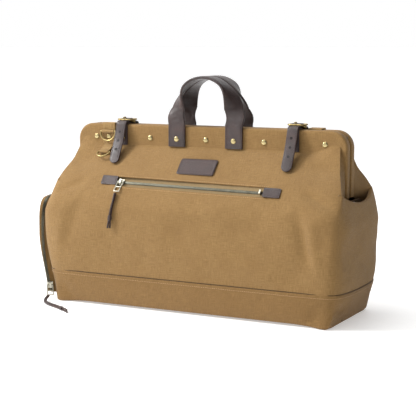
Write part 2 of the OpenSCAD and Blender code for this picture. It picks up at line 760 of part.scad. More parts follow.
pocket_low = 14;
end_straight = 84;         // the zip runs straight from the pocket's foot to this height
pocket_top = hinge_height - 10;
pocket_round = 34;
pocket_reach = 0.9;
pocket_fullness = 0.6;     // share of the end wall's narrowing that the full pocket fills out
// How far the pocket's panel stands outside the end wall at a height
function pocket_out(z) = pocket_stand_off + pocket_fullness * (wall_x(belly_z) - wall_x(z));
function pocket_point(z, share, s, more = 0) = end_point(z, -share * pocket_out(z) - more, s);
function pocket_s(z) = pocket_reach - 0.28 * (z < pocket_top - pocket_round ? 0
    : 1 - sqrt(max(0, 1 - pow((z - pocket_top + pocket_round) / pocket_round, 2))));
pocket_bend = [for (a = [20:20:80]) pocket_top - pocket_round + pocket_round * sin(a)];
module end_pocket_panel() {
    z = concat([pocket_low], levels(end_straight, pocket_top - pocket_round, 4), pocket_bend);
    function row(h, back) = [for (s = span(12)) end_point(h, back - pocket_out(h), s * pocket_s(h))];
    foot = [pocket_low, pocket_low + canvas];
    color("#a67d4c") to_back() {
        sheet([for (h = z) row(h, 0)], [for (h = z) row(h, canvas)]);
        sheet([for (h = foot) row(h, canvas)],
            [for (h = foot) [for (s = span(12)) end_point(h, -gap, s * pocket_reach)]]);
    }
}

// The arch of the end zip: up one side, over the top and down the other.
// share is 0 at the end wall and 1 at the pocket's panel, more adds to it, and grow steps outside the pocket's edge
function arch_path(share, grow, more = 0) = let(
    up = [for (h = concat([pocket_low], levels(end_straight, pocket_top - pocket_round, 3)))
        pocket_point(h, share, pocket_reach + grow, more)],
    bend = [for (h = pocket_bend) pocket_point(h, share, pocket_s(h) + grow, more)],
    over = [for (s = [0.5, 0.25]) pocket_point(pocket_top + 60 * grow, share, s, more)],
    half = concat(up, bend, over))
    concat(half, [pocket_point(pocket_top + 60 * grow, share, 0, more)],
        [for (i = [len(half) - 1:-1:0]) [half[i][0], -half[i][1], half[i][2]]]);
tape_grow = [0.018, 0.032];
chain_grow = [0.034, 0.05];
module end_zip_tape() {
    color("#c0a878") to_back() sheet([for (share = [0.16, 1]) arch_path(share, tape_grow[1])],
        [for (share = [0.16, 1]) arch_path(share, tape_grow[0])]);
}

module end_zip_chain() {
    half = 0.39 * chain_width; // the chain runs aslant, so half its width is less along each axis
    color("#8c8468") to_back() sheet([for (more = [-half, half]) arch_path(0.5, chain_grow[1], more)],
        [for (more = [-half, half]) arch_path(0.5, chain_grow[0], more)]);
}

// The end slider rides the straight stretch, on the side that faces forward
slide_foot = pocket_point(pocket_low, 0.5, pocket_reach + 0.042);
slide_head = pocket_point(end_straight, 0.5, pocket_reach + 0.042);
slide_start = 12 / (end_straight - pocket_low);
end_slider_at = [for (k = [0:2]) (k == 2 ? 1 : -1) * (slide_foot[k] + (slide_head[k] - slide_foot[k])
    * slide_start)];
wall_run = pocket_point(end_slider_at[2], 1, pocket_reach) - pocket_point(end_slider_at[2], 0, pocket_reach);
module on_end_zip() {
    translate(end_slider_at) rotate([0, 0, atan2(wall_run[1], wall_run[0])]) children();
}

module end_zip_slider() {
    color("#b5b7b2") on_end_zip() rotate([0, 90, 0]) slider_shape(-90);
}

end_pull_hang = 12;
module end_zip_pull() {
    on_end_zip() translate([0, -4.8, 0]) rotate([-end_pull_hang, 0, 0]) pull_shape(end_pull_length);
}

end_thong_route = [[-270, -99, 8.5], [-269.5, -103, 7], [-268, -109, 5.4], [-264.5, -116, 4], [-259,
    -123, 3.2],
    [-251, -129.5, 3], [-242, -135, 3], [-232, -140, 3], [-222, -145, 3], [-212, -150.5, 3], [-202, -156.5, 3],
    [-192, -163, 3], [-184, -169, 3]];
module end_thong() {
    color("#3a2620") cord(end_thong_route, thong_r);
}

module back_bar() {
    to_back() front_bar();
}

module back_sleeve() {
    to_back() front_sleeve();
}

base_board();
boot();
front_wall();
back_wall();
left_end_wall();
right_end_wall();
lining();
end_boards();
hinge_pins();
left_web();
right_web();
end_pocket_panel();
end_zip_tape();
end_zip_chain();
front_bar();
front_sleeve();
front_hinge_plates();
front_panel();
front_rivets();
front_handle_tabs();
label_patch();
front_zip_tape();
front_zip_chain();
front_zip_tabs();
front_zip_stop();
pocket_bag();
buckle_chapes();
front_webbing();
back_bar();
back_sleeve();
back_hinge_plates();
back_panel();
back_rivets();
back_handle_tabs();
back_webbing();
front_handle();
back_handle();
left_strap();
right_strap();
left_buckle();
right_buckle();
left_prong();
right_prong();
front_upper_ring();
front_lower_ring();
back_upper_ring();
back_lower_ring();
front_zip_slider();
front_zip_pull();
front_thong();
end_zip_slider();
end_zip_pull();
end_thong();
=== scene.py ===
import math

import bpy
import numpy as np
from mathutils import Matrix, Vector, noise


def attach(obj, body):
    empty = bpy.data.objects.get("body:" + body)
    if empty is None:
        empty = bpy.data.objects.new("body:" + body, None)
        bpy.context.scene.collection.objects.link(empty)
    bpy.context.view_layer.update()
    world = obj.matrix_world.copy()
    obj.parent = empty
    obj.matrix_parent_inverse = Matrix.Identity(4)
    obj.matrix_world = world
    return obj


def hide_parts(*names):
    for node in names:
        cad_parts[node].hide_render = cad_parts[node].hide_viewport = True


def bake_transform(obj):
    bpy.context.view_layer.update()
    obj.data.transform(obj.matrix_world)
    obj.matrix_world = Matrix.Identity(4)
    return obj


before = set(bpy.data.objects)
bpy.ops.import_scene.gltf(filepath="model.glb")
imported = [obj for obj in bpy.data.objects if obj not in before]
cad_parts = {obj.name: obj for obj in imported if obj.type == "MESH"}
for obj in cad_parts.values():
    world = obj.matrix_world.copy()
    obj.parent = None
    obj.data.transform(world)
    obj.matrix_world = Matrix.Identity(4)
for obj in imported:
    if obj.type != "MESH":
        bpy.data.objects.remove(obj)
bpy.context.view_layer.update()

MM = 0.001
TAU = 2 * math.pi

# ---------- camera ----------

camera_data = bpy.data.cameras.new("camera")
camera_data.lens = 105.2
camera_data.sensor_width = 36
camera = bpy.data.objects.new("camera", camera_data)
bpy.context.scene.collection.objects.link(camera)
camera.location = (0.9377, -1.8416, 0.4445)
aim = Vector((-0.0047, 0, 0.1685)) - camera.location
camera.rotation_euler = aim.to_track_quat("-Z", "Y").to_euler()
bpy.context.scene.camera = camera
bpy.context.scene.view_settings.view_transform = "Standard"

# ---------- the bag's own sizes, in millimetres, as in the part ----------

HALF_LENGTH, HALF_DEPTH, BELLY_Z = 289, 98.5, 120
FOOT_NARROWING, END_NARROWING = 0.11, 0.093
FLAT_X, FLAT_Y, CORNER_SHARE = 30, 2.6, 0.9
BOOT_TOP, SHOULDER_Z, HINGE_Z, CROWN_Z, FRAME_TOP = 56, 168, 190, 273, 309
FACE_Y, CROWN_CURVE, FRAME_HALF = 18, 1.45, 254
RIVET_Z, RIVET_PITCH, WEBBING_X = 286.5, 54, 3.52 * 54
HANDLE_X, STRAP_X, CANVAS = 54, 162, 2.5
ZIP_Z, ZIP_X, ZIP_HALF, ZIP_FALL = 213, -4, 139, math.tan(math.radians(1))
CREASE_START, CREASE_END = (0, -0.075, 0.215), (0, -0.018, 0.262)


def belly(z):
    return (z - BELLY_Z) / BELLY_Z


def wall_y(z):
    return HALF_DEPTH * (1 - FOOT_NARROWING * belly(z) ** 2)


def wall_x(z):
    return HALF_LENGTH * (1 - END_NARROWING * belly(z) ** 2)


def rise(z):
    return min(1, max(0, (z - SHOULDER_Z) / (CROWN_Z - SHOULDER_Z)))


def panel_y(z):
    return FACE_Y + (wall_y(SHOULDER_Z) - FACE_Y) * (1 - rise(z) ** CROWN_CURVE)


def panel_tilt(z):
    return math.atan2(panel_y(z - 10) - panel_y(z + 10), 20)


def smooth(t):
    t = min(1, max(0, t))
    return t * t * (3 - 2 * t)


def corner_x(z):
    return wall_x(z) * (1 - CORNER_SHARE ** FLAT_Y) ** (1 / FLAT_X)


# ---------- building meshes ----------

def unit(v):
    return v / np.maximum(np.linalg.norm(v, axis=-1, keepdims=True), 1e-9)


def along(path):
    """Direction of a path at each of its points."""
    path = np.asarray(path, float)
    step = np.empty_like(path)
    step[1:-1] = path[2:] - path[:-2]
    step[0], step[-1] = path[1] - path[0], path[-1] - path[-2]
    return unit(step)


def lengths(path):
    """How far along a path each of its points lies."""
    return np.concatenate([[0], np.cumsum(np.linalg.norm(np.diff(path, axis=0), axis=1))])


def spread(grid):
    """How far across and along a grid of points each of them lies, across being from the middle."""
    rows, cols = grid.shape[:2]
    across, down = np.zeros((rows, cols)), np.zeros((rows, cols))
    across[:, 1:] = np.cumsum(np.linalg.norm(np.diff(grid, axis=1), axis=2), axis=1)
    across -= across[:, cols // 2][:, None]
    down[1:] = np.cumsum(np.linalg.norm(np.diff(grid, axis=0), axis=2), axis=0)
    return across, down


def skin(rows, sides):
    """The faces between closed rings of points, one ring after another, and a cap at each end."""
    faces = [(j * sides + i, j * sides + (i + 1) % sides, (j + 1) * sides + (i + 1) % sides,
            (j + 1) * sides + i)
             for j in range(rows - 1) for i in range(sides)]
    return faces + [tuple(range(sides))[::-1], tuple(range((rows - 1) * sides, rows * sides))]


def flow(points, count):
    """The smooth curve through a few points, at evenly spaced places."""
    p = np.asarray(points, float)
    p = np.vstack([2 * p[0] - p[1], p, 2 * p[-1] - p[-2]])
    made = []
    for i in range(1, len(p) - 2):
        for t in np.linspace(0, 1, 12, endpoint=False):
            made.append(0.5 * (2 * p[i] + (p[i + 1] - p[i - 1]) * t
                        + (2 * p[i - 1] - 5 * p[i] + 4 * p[i + 1] - p[i + 2]) * t ** 2
                        + (3 * p[i] - p[i - 1] - 3 * p[i + 1] + p[i + 2]) * t ** 3))
    made = np.array(made + [p[-2]])
    run = lengths(made)
    at = np.linspace(0, run[-1], count)
    return np.stack([np.interp(at, run, made[:, k]) for k in range(made.shape[1])], axis=1)


def lift(grid, height):
    """A grid of points moved along its own surface direction."""
    grid = np.asarray(grid, float)
    normal = unit(np.cross(np.gradient(grid, axis=1), np.gradient(grid, axis=0)))
    return grid + np.asarray(height)[..., None] * normal if np.ndim(height) else grid + height * normal


class Piece:
    """One named piece of the bag, gathered from grids, ribbons, stitches and lathed parts."""

    def __init__(self, name):
        self.name = name
        self.points, self.faces, self.finish_of, self.uv = [], [], [], []
        self.finishes = []

    def add(self, points, faces, finish, uv=None):
        if finish not in self.finishes:
            self.finishes.append(finish)
        start = len(self.points)
        points = np.asarray(points, float).reshape(-1, 3)
        uv = points[:, :2] + points[:, 2:] if uv is None else np.asarray(uv).reshape(-1, 2)
        self.points.extend(points.tolist())
        self.uv.extend(uv.tolist())
        self.faces.extend([tuple(start + i for i in f) for f in faces])
        self.finish_of.extend([self.finishes.index(finish)] * len(faces))

    def grid(self, grid, finish, closed=False, flip=False, uv=None):
        grid = np.asarray(grid, float)
        rows, cols = grid.shape[:2]
        if uv is None:
            run_u, run_v = spread(grid)
            uv = np.stack([run_u, np.repeat(run_v.mean(axis=1)[:, None], cols, axis=1)], axis=2)
        faces = []
        for j in range(rows - 1):
            for i in range(cols if closed else cols - 1):
                k = (i + 1) % cols
                f = (j * cols + i, j * cols + k, (j + 1) * cols + k, (j + 1) * cols + i)
                faces.append(f[::-1] if flip else f)
        self.add(grid, faces, finish, uv)

    def cloth(self, grid, thickness, outside, inside, skip=None):
        """A grid with an inner face and closed edges; skip is a test for faces left out of a slot."""
        outer = np.asarray(grid, float)
        inner = lift(outer, -thickness)
        rows, cols = outer.shape[:2]
        n = rows * cols
        run_u, run_v = spread(outer)
        uv = np.stack([run_u, run_v], axis=2).reshape(-1, 2)
        kept = [(j, i) for j in range(rows - 1) for i in range(cols - 1) if not (skip and skip(j, i))]
        here = set(kept)
        quad = lambda j, i: (j * cols + i, j * cols + i + 1, (j + 1) * cols + i + 1, (j + 1) * cols + i)
        front = [quad(j, i) for j, i in kept]
        back = [tuple(n + k for k in quad(j, i)[::-1]) for j, i in kept]
        rim = []
        for j, i in kept:
            a, b, c, d = quad(j, i)
            for near, p, q in (((j - 1, i), a, b), ((j, i + 1), b, c), ((j + 1, i), c, d), ((j, i - 1), d, a)):
                if near not in here:
                    rim.append((q, p, p + n, q + n))
        for f in (outside, inside):
            if f not in self.finishes:
                self.finishes.append(f)
        start = len(self.points)
        used = sorted({k for f in front + back + rim for k in f})
        place = {k: start + m for m, k in enumerate(used)}
        every = np.vstack([outer.reshape(-1, 3), inner.reshape(-1, 3)])
        both = np.vstack([uv, uv])
        self.points.extend(every[used].tolist())
        self.uv.extend(both[used].tolist())
        for group, finish in ((front, outside), (back, inside), (rim, outside)):
            self.faces.extend([tuple(place[k] for k in f) for f in group])
            self.finish_of.extend([self.finishes.index(finish)] * len(group))

    def ribbon(self, path, across, width, thick, finish, edge=1.0, crown=0.0, widths=None, groove=0.0):
        """A leather or webbing strip: a soft-edged section carried along a path."""
        path, across = np.asarray(path, float), unit(np.asarray(across, float))
        out = unit(np.cross(along(path), across))
        half, t = width / 2, thick / 2
        r = min(edge, t * 0.98)
        arc = [(r * math.cos(a), r * math.sin(a)) for a in np.linspace(0, math.pi / 2, 4)]
        face = [(x, crown * (1 - (x / half) ** 2) - groove * math.exp(-((half - abs(x) - 2.6) / 0.7) ** 2))
                for x in np.concatenate([np.linspace(half - r, half - 4.6, 5), np.linspace(half - 6, 0,
                        4)[:-1]])]
        face = face[1:] + [(0, crown)] + [(-x, h) for x, h in face[:0:-1]]
        section = [(half - r + x, t - r + y) for x, y in arc] + [(x, t + h) for x, h in face]
        section += [(-half + r - x, t - r + y) for x, y in arc[::-1]]
        section += [(-half + r - x, -t + r - y) for x, y in arc]
        section += [(half - r + x, -t + r - y) for x, y in arc[::-1]]
        section = np.array(section)
        if widths is None:
            widths = np.ones(len(path))
        rings = (path[:, None, :] + across[:, None, :] * (section[None, :, :1] * widths[:, None, None])
                 + out[:, None, :] * section[None, :, 1:])
        run = lengths(path)
        uv = np.stack(np.broadcast_arrays(section[None, :, 0] + 0.4 * section[None, :, 1], run[:, None]),
                axis=2)
        self.add(rings.reshape(-1, 3), skin(len(path), len(section)), finish, uv.reshape(-1, 2))

    def tube(self, path, radius, finish, sides=10):
        path = np.asarray(path, float)
        radius = np.broadcast_to(np.asarray(radius, float), (len(path),))
        t = along(path)
        u = unit(np.cross(t, np.array([0.31, 0.17, 0.93])))
        v = np.cross(t, u)
        a = np.linspace(0, TAU, sides, endpoint=False)
        rings = path[:, None] + radius[:, None, None] * (np.cos(a)[None, :, None] * u[:, None]
                                                         + np.sin(a)[None, :, None] * v[:, None])
        run = lengths(path)
        uv = np.stack(np.broadcast_arrays(a[None, :] * 2.4, run[:, None]), axis=2)
        self.add(rings.reshape(-1, 3), skin(len(path), sides), finish, uv.reshape(-1, 2))

    def stitches(self, path, out, finish, pitch=3.4, length=2.5, thick=0.42):
        """A row of thread along a path, just proud of the surface whose outward direction is out."""
        path, out = np.asarray(path, float), np.broadcast_to(np.asarray(out, float), np.shape(path))
        run = lengths(path)
        at = np.arange(pitch / 2, run[-1], pitch)
        centre = np.stack([np.interp(at, run, path[:, k]) for k in range(3)], axis=1)
        up = unit(np.stack([np.interp(at, run, out[:, k]) for k in range(3)], axis=1))
        t = np.stack([np.interp(at, run, along(path)[:, k]) for k in range(3)], axis=1)
        side = unit(np.cross(t, up))
        shape = [(-0.5, 0.25, -0.35), (-0.22, 1, 0.12), (0.22, 1, 0.12), (0.5, 0.25, -0.35)]
        for c, n, d, s in zip(centre, up, unit(t), side):
            ring = [c + d * length * a + n * thick * (h + r * math.sin(w)) + s * thick * r * math.cos(w)
                    for a, r, h in shape for w in (0, TAU / 4, TAU / 2, 3 * TAU / 4)]
            faces = [(4 * j + i, 4 * j + (i + 1) % 4, 4 * j + 4 + (i + 1) % 4, 4 * j + 4 + i)
                     for j in range(3) for i in range(4)]
            self.add(ring, faces + [(3, 2, 1, 0), (12, 13, 14, 15)], finish)

    def dome(self, at, out, finish, radius=4.8, height=1.9):
        """A domed rivet head on its rolled foot."""
        at, out = np.asarray(at, float), unit(np.asarray(out, float))
        u = unit(np.cross(out, np.array([0.2, 0.1, 0.97])))
        v = np.cross(out, u)
        profile = [(radius * 0.9, -0.5), (radius, 0.0), (radius, 0.35), (radius * 0.93, 0.6)]
        profile += [(radius * 0.93 * math.cos(a), 0.6 + (height - 0.6) * math.sin(a))
                    for a in np.linspace(0.18, math.pi / 2 - 0.12, 7)]
        sides = 24
        a = np.linspace(0, TAU, sides, endpoint=False)
        rings = np.array([[at + out * h + r * (u * math.cos(w) + v * math.sin(w)) for w in a] for r,
                h in profile])
        self.add(rings.reshape(-1, 3), skin(len(profile), sides), finish)

    def turned(self):
        """The same piece on the other side of the bag, turned half round."""
        self.points = [[-x, -y, z] for x, y, z in self.points]
        return self

    def make(self, body, slot, replaces=(), bend=None, sharp=48):
        mesh = bpy.data.meshes.new(self.name)
        mesh.from_pydata((np.array(self.points) * MM).tolist(), [], self.faces)
        layer = mesh.uv_layers.new(name="cloth")
        loops = np.empty(len(mesh.loops), int)
        mesh.loops.foreach_get("vertex_index", loops)
        layer.data.foreach_set("uv", (np.array(self.uv)[loops] * MM).astype(np.float32).ravel())
        mesh.polygons.foreach_set("material_index", self.finish_of)
        for f in self.finishes:
            mesh.materials.append(f)
        mesh.shade_smooth()
        mesh.set_sharp_from_angle(angle=math.radians(sharp))
        made = bpy.data.objects.new(self.name, mesh)
        bpy.context.scene.collection.objects.link(made)
        if bend:
            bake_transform(made)
        else:
            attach(made, body)
        if replaces:
            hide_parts(*replaces)
        return made


# ---------- finishes ----------

class Socket:
    """One value inside a finish; arithmetic on it adds Math nodes."""

    def __init__(self, finish, out):
        self.finish, self.out = finish, out

    def math(self, operation, *others):
        values = {i: v for i, v in enumerate((self,) + others)}
        return self.finish.node("ShaderNodeMath", {"operation": operation}, values)

    def __add__(self, other):
        return self.math("ADD", other)

    def __sub__(self, other):
        return self.math("SUBTRACT", other)

    def __mul__(self, other):
        return self.math("MULTIPLY", other)

    def __rsub__(self, other):
        return self.finish.node("ShaderNodeMath", {"operation": "SUBTRACT"}, {0: other, 1: self})

    __radd__, __rmul__ = __add__, __mul__

    def sine(self):
        return self.math("SINE")

    def clamped(self):
        return self.finish.node("ShaderNodeClamp", {}, {"Value": self})


class Finish:
    """A procedural finish built round one Principled shader."""

    def __init__(self, name, **constants):
        self.material = bpy.data.materials.new(name)
        self.material.use_nodes = True
        self.tree = self.material.node_tree
        self.shader = self.tree.nodes["Principled BSDF"]
        for key, value in constants.items():
            self.shader.inputs[key.replace("_", " ")].default_value = value

    def node(self, kind, settings=None, values=None, output=0):
        made = self.tree.nodes.new(kind)
        for key, value in (settings or {}).items():
            setattr(made, key, value)
        for key, value in (values or {}).items():
            if isinstance(value, Socket):
                self.tree.links.new(value.out, made.inputs[key])
            else:
                made.inputs[key].default_value = value
        return Socket(self, made.outputs[output])

    def place(self):
        """Position on the piece at rest, in metres."""
        return self.node("ShaderNodeTexCoord", output="Object")

    def laid(self):
        """Distance across and along the cloth or leather, in metres."""
        uv = self.node("ShaderNodeUVMap", {"uv_map": "cloth"})
        return [self.node("ShaderNodeSeparateXYZ", {}, {"Vector": uv}, output=k) for k in (0, 1)]

    def spot(self, u, v):
        return self.node("ShaderNodeCombineXYZ", {}, {"X": u, "Y": v, "Z": 0.0})

    def mottle(self, at, scale, detail=3.0, rough=0.55):
        return self.node("ShaderNodeTexNoise", {}, {"Vector": at, "Scale": scale, "Detail": detail,
                "Roughness": rough})

    def blend(self, share, low, high):
        """A colour between two others."""
        return self.node("ShaderNodeMix", {"data_type": "RGBA"}, {0: share, 6: low, 7: high}, output=2)

    def finish(self, colour=None, roughness=None, bump=None, height=0.001, strength=1.0):
        links = {"Base Color": colour, "Roughness": roughness}
        if bump is not None:
            links["Normal"] = self.node("ShaderNodeBump", {}, {"Height": bump, "Distance": height,
                                                               "Strength": strength})
        for key, value in links.items():
            if value is not None:
                self.tree.links.new(value.out, self.shader.inputs[key])
        return self.material


def rgb(r, g, b):
    """A colour given as it looks on a swatch card, 0 to 255."""
    return tuple(((c / 255 + 0.055) / 1.055) ** 2.4 if c > 10 else c / 3294 for c in (r, g, b)) + (1.0,)


def woven(name, shade, light, dark, pitch=0.0011, streak=1.0, depth=0.0005, mottled=0.5):
    """Plain weave with slubs along both threads, soft blotches of wear and fading."""
    f = Finish(name, Roughness=0.88, Sheen_Weight=0.12, Specular_IOR_Level=0.25)
    u, v = f.laid()
    at = f.place()
    warp, weft = (u * (TAU / pitch)).sine(), (v * (TAU / pitch)).sine()
    weave = warp * weft * 0.5 + 0.5
    across = f.mottle(f.spot(u * 60, v * 1500), 1.0, 2.0)
    down = f.mottle(f.spot(u * 1500, v * 60), 1.0, 2.0)
    threads = (across + down) * 0.5
    blotch = f.mottle(at, 14.0, 4.0, 0.6)
    fine = f.mottle(at, 420.0, 2.0)
    tone = f.blend(((threads - 0.5) * (2.6 * streak) + 0.5 + (fine - 0.5) * 0.5).clamped(), dark, light)
    tone = f.blend(((blotch - 0.35) * 2.2).clamped() * mottled, tone, shade)
    tone = f.blend(weave * 0.22, tone, dark)
    return f.finish(tone, 0.80 + threads * 0.16, weave * 0.6 + threads * 1.1 + fine * 0.25, depth, 0.9)


def hide(name, base, worn, grain=520.0, rough=0.36, depth=0.0004):
    """Bridle leather: fine cells, pores, darker creases and rubbed places."""
    f = Finish(name, Coat_Weight=0.12, Coat_Roughness=0.25, Specular_IOR_Level=0.5)
    at = f.place()
    cells = f.node("ShaderNodeTexVoronoi", {"feature": "DISTANCE_TO_EDGE"}, {"Vector": at, "Scale": grain})
    pores = f.mottle(at, grain * 2.3, 2.0)
    rubbed = f.mottle(at, 38.0, 5.0, 0.65)
    edge = (cells * 6.0).clamped()
    tone = f.blend(((rubbed - 0.42) * 2.4).clamped(), base, worn)
    tone = f.blend((1 - edge) * 0.45, tone, rgb(24, 12, 10))
    return f.finish(tone, rough + rubbed * 0.22 - edge * 0.04, edge * 0.7 + pores * 0.5 + rubbed * 0.8,
            depth, 0.8)


def metal(name, base, tarnish, rough=0.26, spread=0.5):
    """Plated or polished metal with dull patches and fine scratches."""
    f = Finish(name, Metallic=1.0)
    at = f.place()
    dull = f.mottle(at, 90.0, 5.0, 0.6)
    scratch = f.mottle(at, 1400.0, 1.0)
    mask = ((dull - 0.45) * 3.0).clamped() * spread
    tone = f.blend(mask, base, tarnish)
    return f.finish(tone, rough + mask * 0.3 + scratch * 0.08, dull * 0.6 + scratch * 0.4, 0.0002, 0.35)


def thread(name, base, dark):
    f = Finish(name, Roughness=0.7, Sheen_Weight=0.2)
    at = f.place()
    ply = f.node("ShaderNodeTexWave", {"bands_direction": "DIAGONAL"}, {"Vector": at, "Scale": 700.0,
            "Distortion": 1.0})
    return f.finish(f.blend(ply, base, dark), 0.55 + ply * 0.3, ply, 0.0002, 0.6)


canvas = woven("tan canvas", rgb(128, 97, 55), rgb(162, 129, 81), rgb(120, 90, 50))
boot_canvas = woven("boot canvas", rgb(121, 90, 49), rgb(153, 120, 73), rgb(113, 83, 45))
facing = woven("lining cloth", rgb(112, 98, 78), rgb(132, 118, 98), rgb(92, 80, 64), depth=0.0003)
webbing = woven("cotton webbing", rgb(150, 118, 70), rgb(178, 146, 96), rgb(122, 94, 54), 0.0022, 1.3,
        0.0009, 0.3)
# a dark canvas colour that paints the shadow in the gap where the boot's top edge overlaps the body
seam_gap_painted_shadow = woven("painted seam gap shadow", rgb(70, 50, 26), rgb(92, 68, 38), rgb(56, 40, 22), mottled=0.2)
tape = woven("zip tape cloth", rgb(138, 117, 82), rgb(156, 133, 96), rgb(120, 100, 68), 0.0013, 0.7, 0.0004,
        0.3)
leather = hide("dark brown leather", rgb(44, 26, 23), rgb(72, 47, 42), rough=0.28)
label_leather = hide("label leather", rgb(56, 36, 33), rgb(76, 53, 49), 700.0, 0.42)
cord_leather = hide("thong leather", rgb(54, 34, 30), rgb(80, 54, 46), 900.0, 0.36)
rivet_brass = metal("rivet brass", rgb(186, 170, 124), rgb(112, 96, 60), 0.2, 0.5)
old_brass = metal("antique brass", rgb(168, 148, 100), rgb(92, 76, 48), 0.28, 0.6)
teeth_metal = metal("zip teeth metal", rgb(128, 126, 112), rgb(78, 76, 66), 0.35, 0.6)
zip_metal = metal("zip slider metal", rgb(186, 182, 166), rgb(112, 106, 90), 0.25, 0.5)
zinc = metal("zinc plated strip", rgb(176, 178, 180), rgb(120, 122, 126), 0.32, 0.5)
canvas_thread = thread("tan thread", rgb(196, 160, 112), rgb(150, 114, 70))
brown_thread = thread("brown thread", rgb(74, 52, 46), rgb(44, 28, 24))
board_finish = hide("fibre board", rgb(104, 82, 54), rgb(120, 96, 66), 300.0, 0.7)


# ---------- canvas body ----------

SLUMP_RIGHT = [(0, -4), (BOOT_TOP, -5), (100, -8), (120, -8.5), (140, -7), (SHOULDER_Z, -3), (HINGE_Z, -1),
        (205, 0)]
SLUMP_LEFT = [(0, 1), (BOOT_TOP, 1), (85, 1.5), (BELLY_Z, 4), (160, 8), (HINGE_Z, 1), (205, 0)]


def slump(grid):
    """The bag stands a little uneven: its right end is drawn in and its left end pushed out."""
    grid = np.array(grid, float)
    x, z = grid[..., 0], grid[..., 2]
    near = smooth_array((abs(x) - 150) / 105)
    shift = np.where(x > 0, np.interp(z, *zip(*SLUMP_RIGHT)), np.interp(z, *zip(*SLUMP_LEFT)))
    grid[..., 0] = x + np.sign(x) * near * shift
    return grid


def smooth_array(t):
    t = np.clip(t, 0, 1)
    return t * t * (3 - 2 * t)


FOLD_TABLE = [(SHOULDER_Z, corner_x(SHOULDER_Z)), (190, 269.0), (212, 265.5), (229, 259), (243, 252.5), (258,
        247), (CROWN_Z, 242)]


def fold_x(z):
    """Where the front panel folds back at the ends of the bag."""
    if z <= SHOULDER_Z:
        return corner_x(z)
    return float(np.interp(z, *zip(*FOLD_TABLE)))


def fold_share(z):
    return CORNER_SHARE + 0.05 * smooth((z - SHOULDER_Z) / 60)


def dent(x, y, z, seed=0.0):
    """Soft waves of cloth that hangs and slumps; kept away from the seams."""
    slow = noise.noise(Vector((x / 95 + seed, y / 95, z / 62 + 3.1)))
    quick = noise.noise(Vector((x / 34 + 7.7, y / 34 + seed, z / 21)))
    return 3.4 * slow + 0.9 * quick


def face_depth(z):
    return wall_y(z) if z <= SHOULDER_Z else panel_y(z)


def front_surface(x, z):
    """Depth of the front face at a place."""
    share, edge = fold_share(z), fold_x(z)
    reach = edge / (1 - share ** FLAT_Y) ** (1 / FLAT_X)
    return face_depth(z) * (1 - min(1, abs(x) / reach) ** FLAT_X) ** (1 / FLAT_Y)


SLOT_LOW, SLOT_HIGH = ZIP_Z - 7.6, ZIP_Z + 7.6
slot_left, slot_right = ZIP_X - ZIP_HALF, ZIP_X + ZIP_HALF
columns = sorted(set(np.round(np.concatenate([np.linspace(-150, slot_left, 4), np.linspace(slot_left,
        slot_right, 81),
                                              np.linspace(slot_right, 150, 5)]), 4)))
CHEEK = 9


def creases(x, z):
    """Folds in the cloth of the front: one below each cheek and a slack one down each side."""
    reach = abs(x)
    below = 4.5 * math.exp(-((z - 201 + 0.35 * (reach - 235)) / 6.5) ** 2) * smooth((reach - 196) / 24)
    slack = 3.4 * math.exp(-((reach - 212 + 0.30 * (z - 150)) / 10) ** 2)
    slack *= smooth((z - 92) / 40) * smooth((196 - z) / 30)
    ridge = 2.2 * math.exp(-((reach - 240 + 0.22 * (z - 120)) / 9) ** 2)
    ridge *= smooth((z - 70) / 40) * smooth((190 - z) / 40)
    return (below + slack - ridge) * (1 if x > 0 else 0.55)


def face_row(z, zipped, seed):
    """One level of a front or back face, out to the fold at each end; with_cheeks adds the cheeks."""
    edge = fold_x(z)
    outer = 150 + (edge - 150) * (1 - (1 - np.linspace(0, 1, 26)) ** 1.35)
    xs = np.concatenate([-outer[:0:-1], columns, outer[1:]])
    level = z
    row = []
    for x in xs:
        near_top = max(0, (z - 248) / (CROWN_Z - 248))
        h = level + 13 * near_top * smooth((abs(x) - 196) / 40)
        if zipped:
            h -= ZIP_FALL * (x - ZIP_X) * math.exp(-((z - ZIP_Z) / 26) ** 2) * (abs(x - ZIP_X) < 150)
        y = front_surface(x, level)
        keep = smooth((edge - abs(x)) / 30) * smooth((z - BOOT_TOP) / 22) * smooth((CROWN_Z - 4 - z) / 24)
        quiet = 1 - 0.85 * math.exp(-((z - ZIP_Z) / 22) ** 2) * zipped
        sag = 5.0 * math.exp(-((z - 246) / 17) ** 2) * math.exp(-((abs(x) - 224) / 26) ** 2)
        hollow = 2.2 * smooth((z - 222) / 20) * smooth((264 - z) / 14) * (math.cos(x / 31) ** 2) * 0.5
        y += keep * quiet * dent(x, 0, z, seed) - sag - hollow * keep
        if zipped:
            y -= keep * creases(x, z)
        row.append((x, -y, h))
    return row


def cheek_end(z):
    """The inner end of the cheek: a hem inside the body below, then back to the frame's arm above."""
    fx, fy = fold_x(z), front_surface(fold_x(z), z)
    up = smooth((z - 176) / 30)
    return (fx - 13) * (1 - up) + 250.6 * up, (fy - 14) * (1 - up) + 16.5 * up


def with_cheeks(row, z):
    fx, fy = row[-1][0], -row[-1][1]
    cx, cy = cheek_end(z)
    depth = smooth((z - 182) / 24)
    hz = row[-1][2]
    bend = (fx + 1.5 * (1 - depth) + 4 * depth, fy - 6 - 16 * depth * (fy - cy) / 60)
    cheek = []
    for t in np.linspace(0, 1, CHEEK)[1:]:
        x = (1 - t) ** 2 * fx + 2 * t * (1 - t) * bend[0] + t * t * cx
        y = (1 - t) ** 2 * fy + 2 * t * (1 - t) * bend[1] + t * t * cy
        hollow = 5 * depth * math.sin(math.pi * t)
        cheek.append((x - hollow, -y, hz))
    return [(-x, y, h) for x, y, h in cheek[::-1]] + row + cheek


low_levels = np.linspace(BOOT_TOP - 5, SLOT_LOW, 42)
mid_levels = np.linspace(SLOT_LOW, SLOT_HIGH, 5)
high_levels = np.linspace(SLOT_HIGH, CROWN_Z + 1.5, 22)
face_levels = np.concatenate([low_levels, mid_levels[1:], high_levels[1:]])


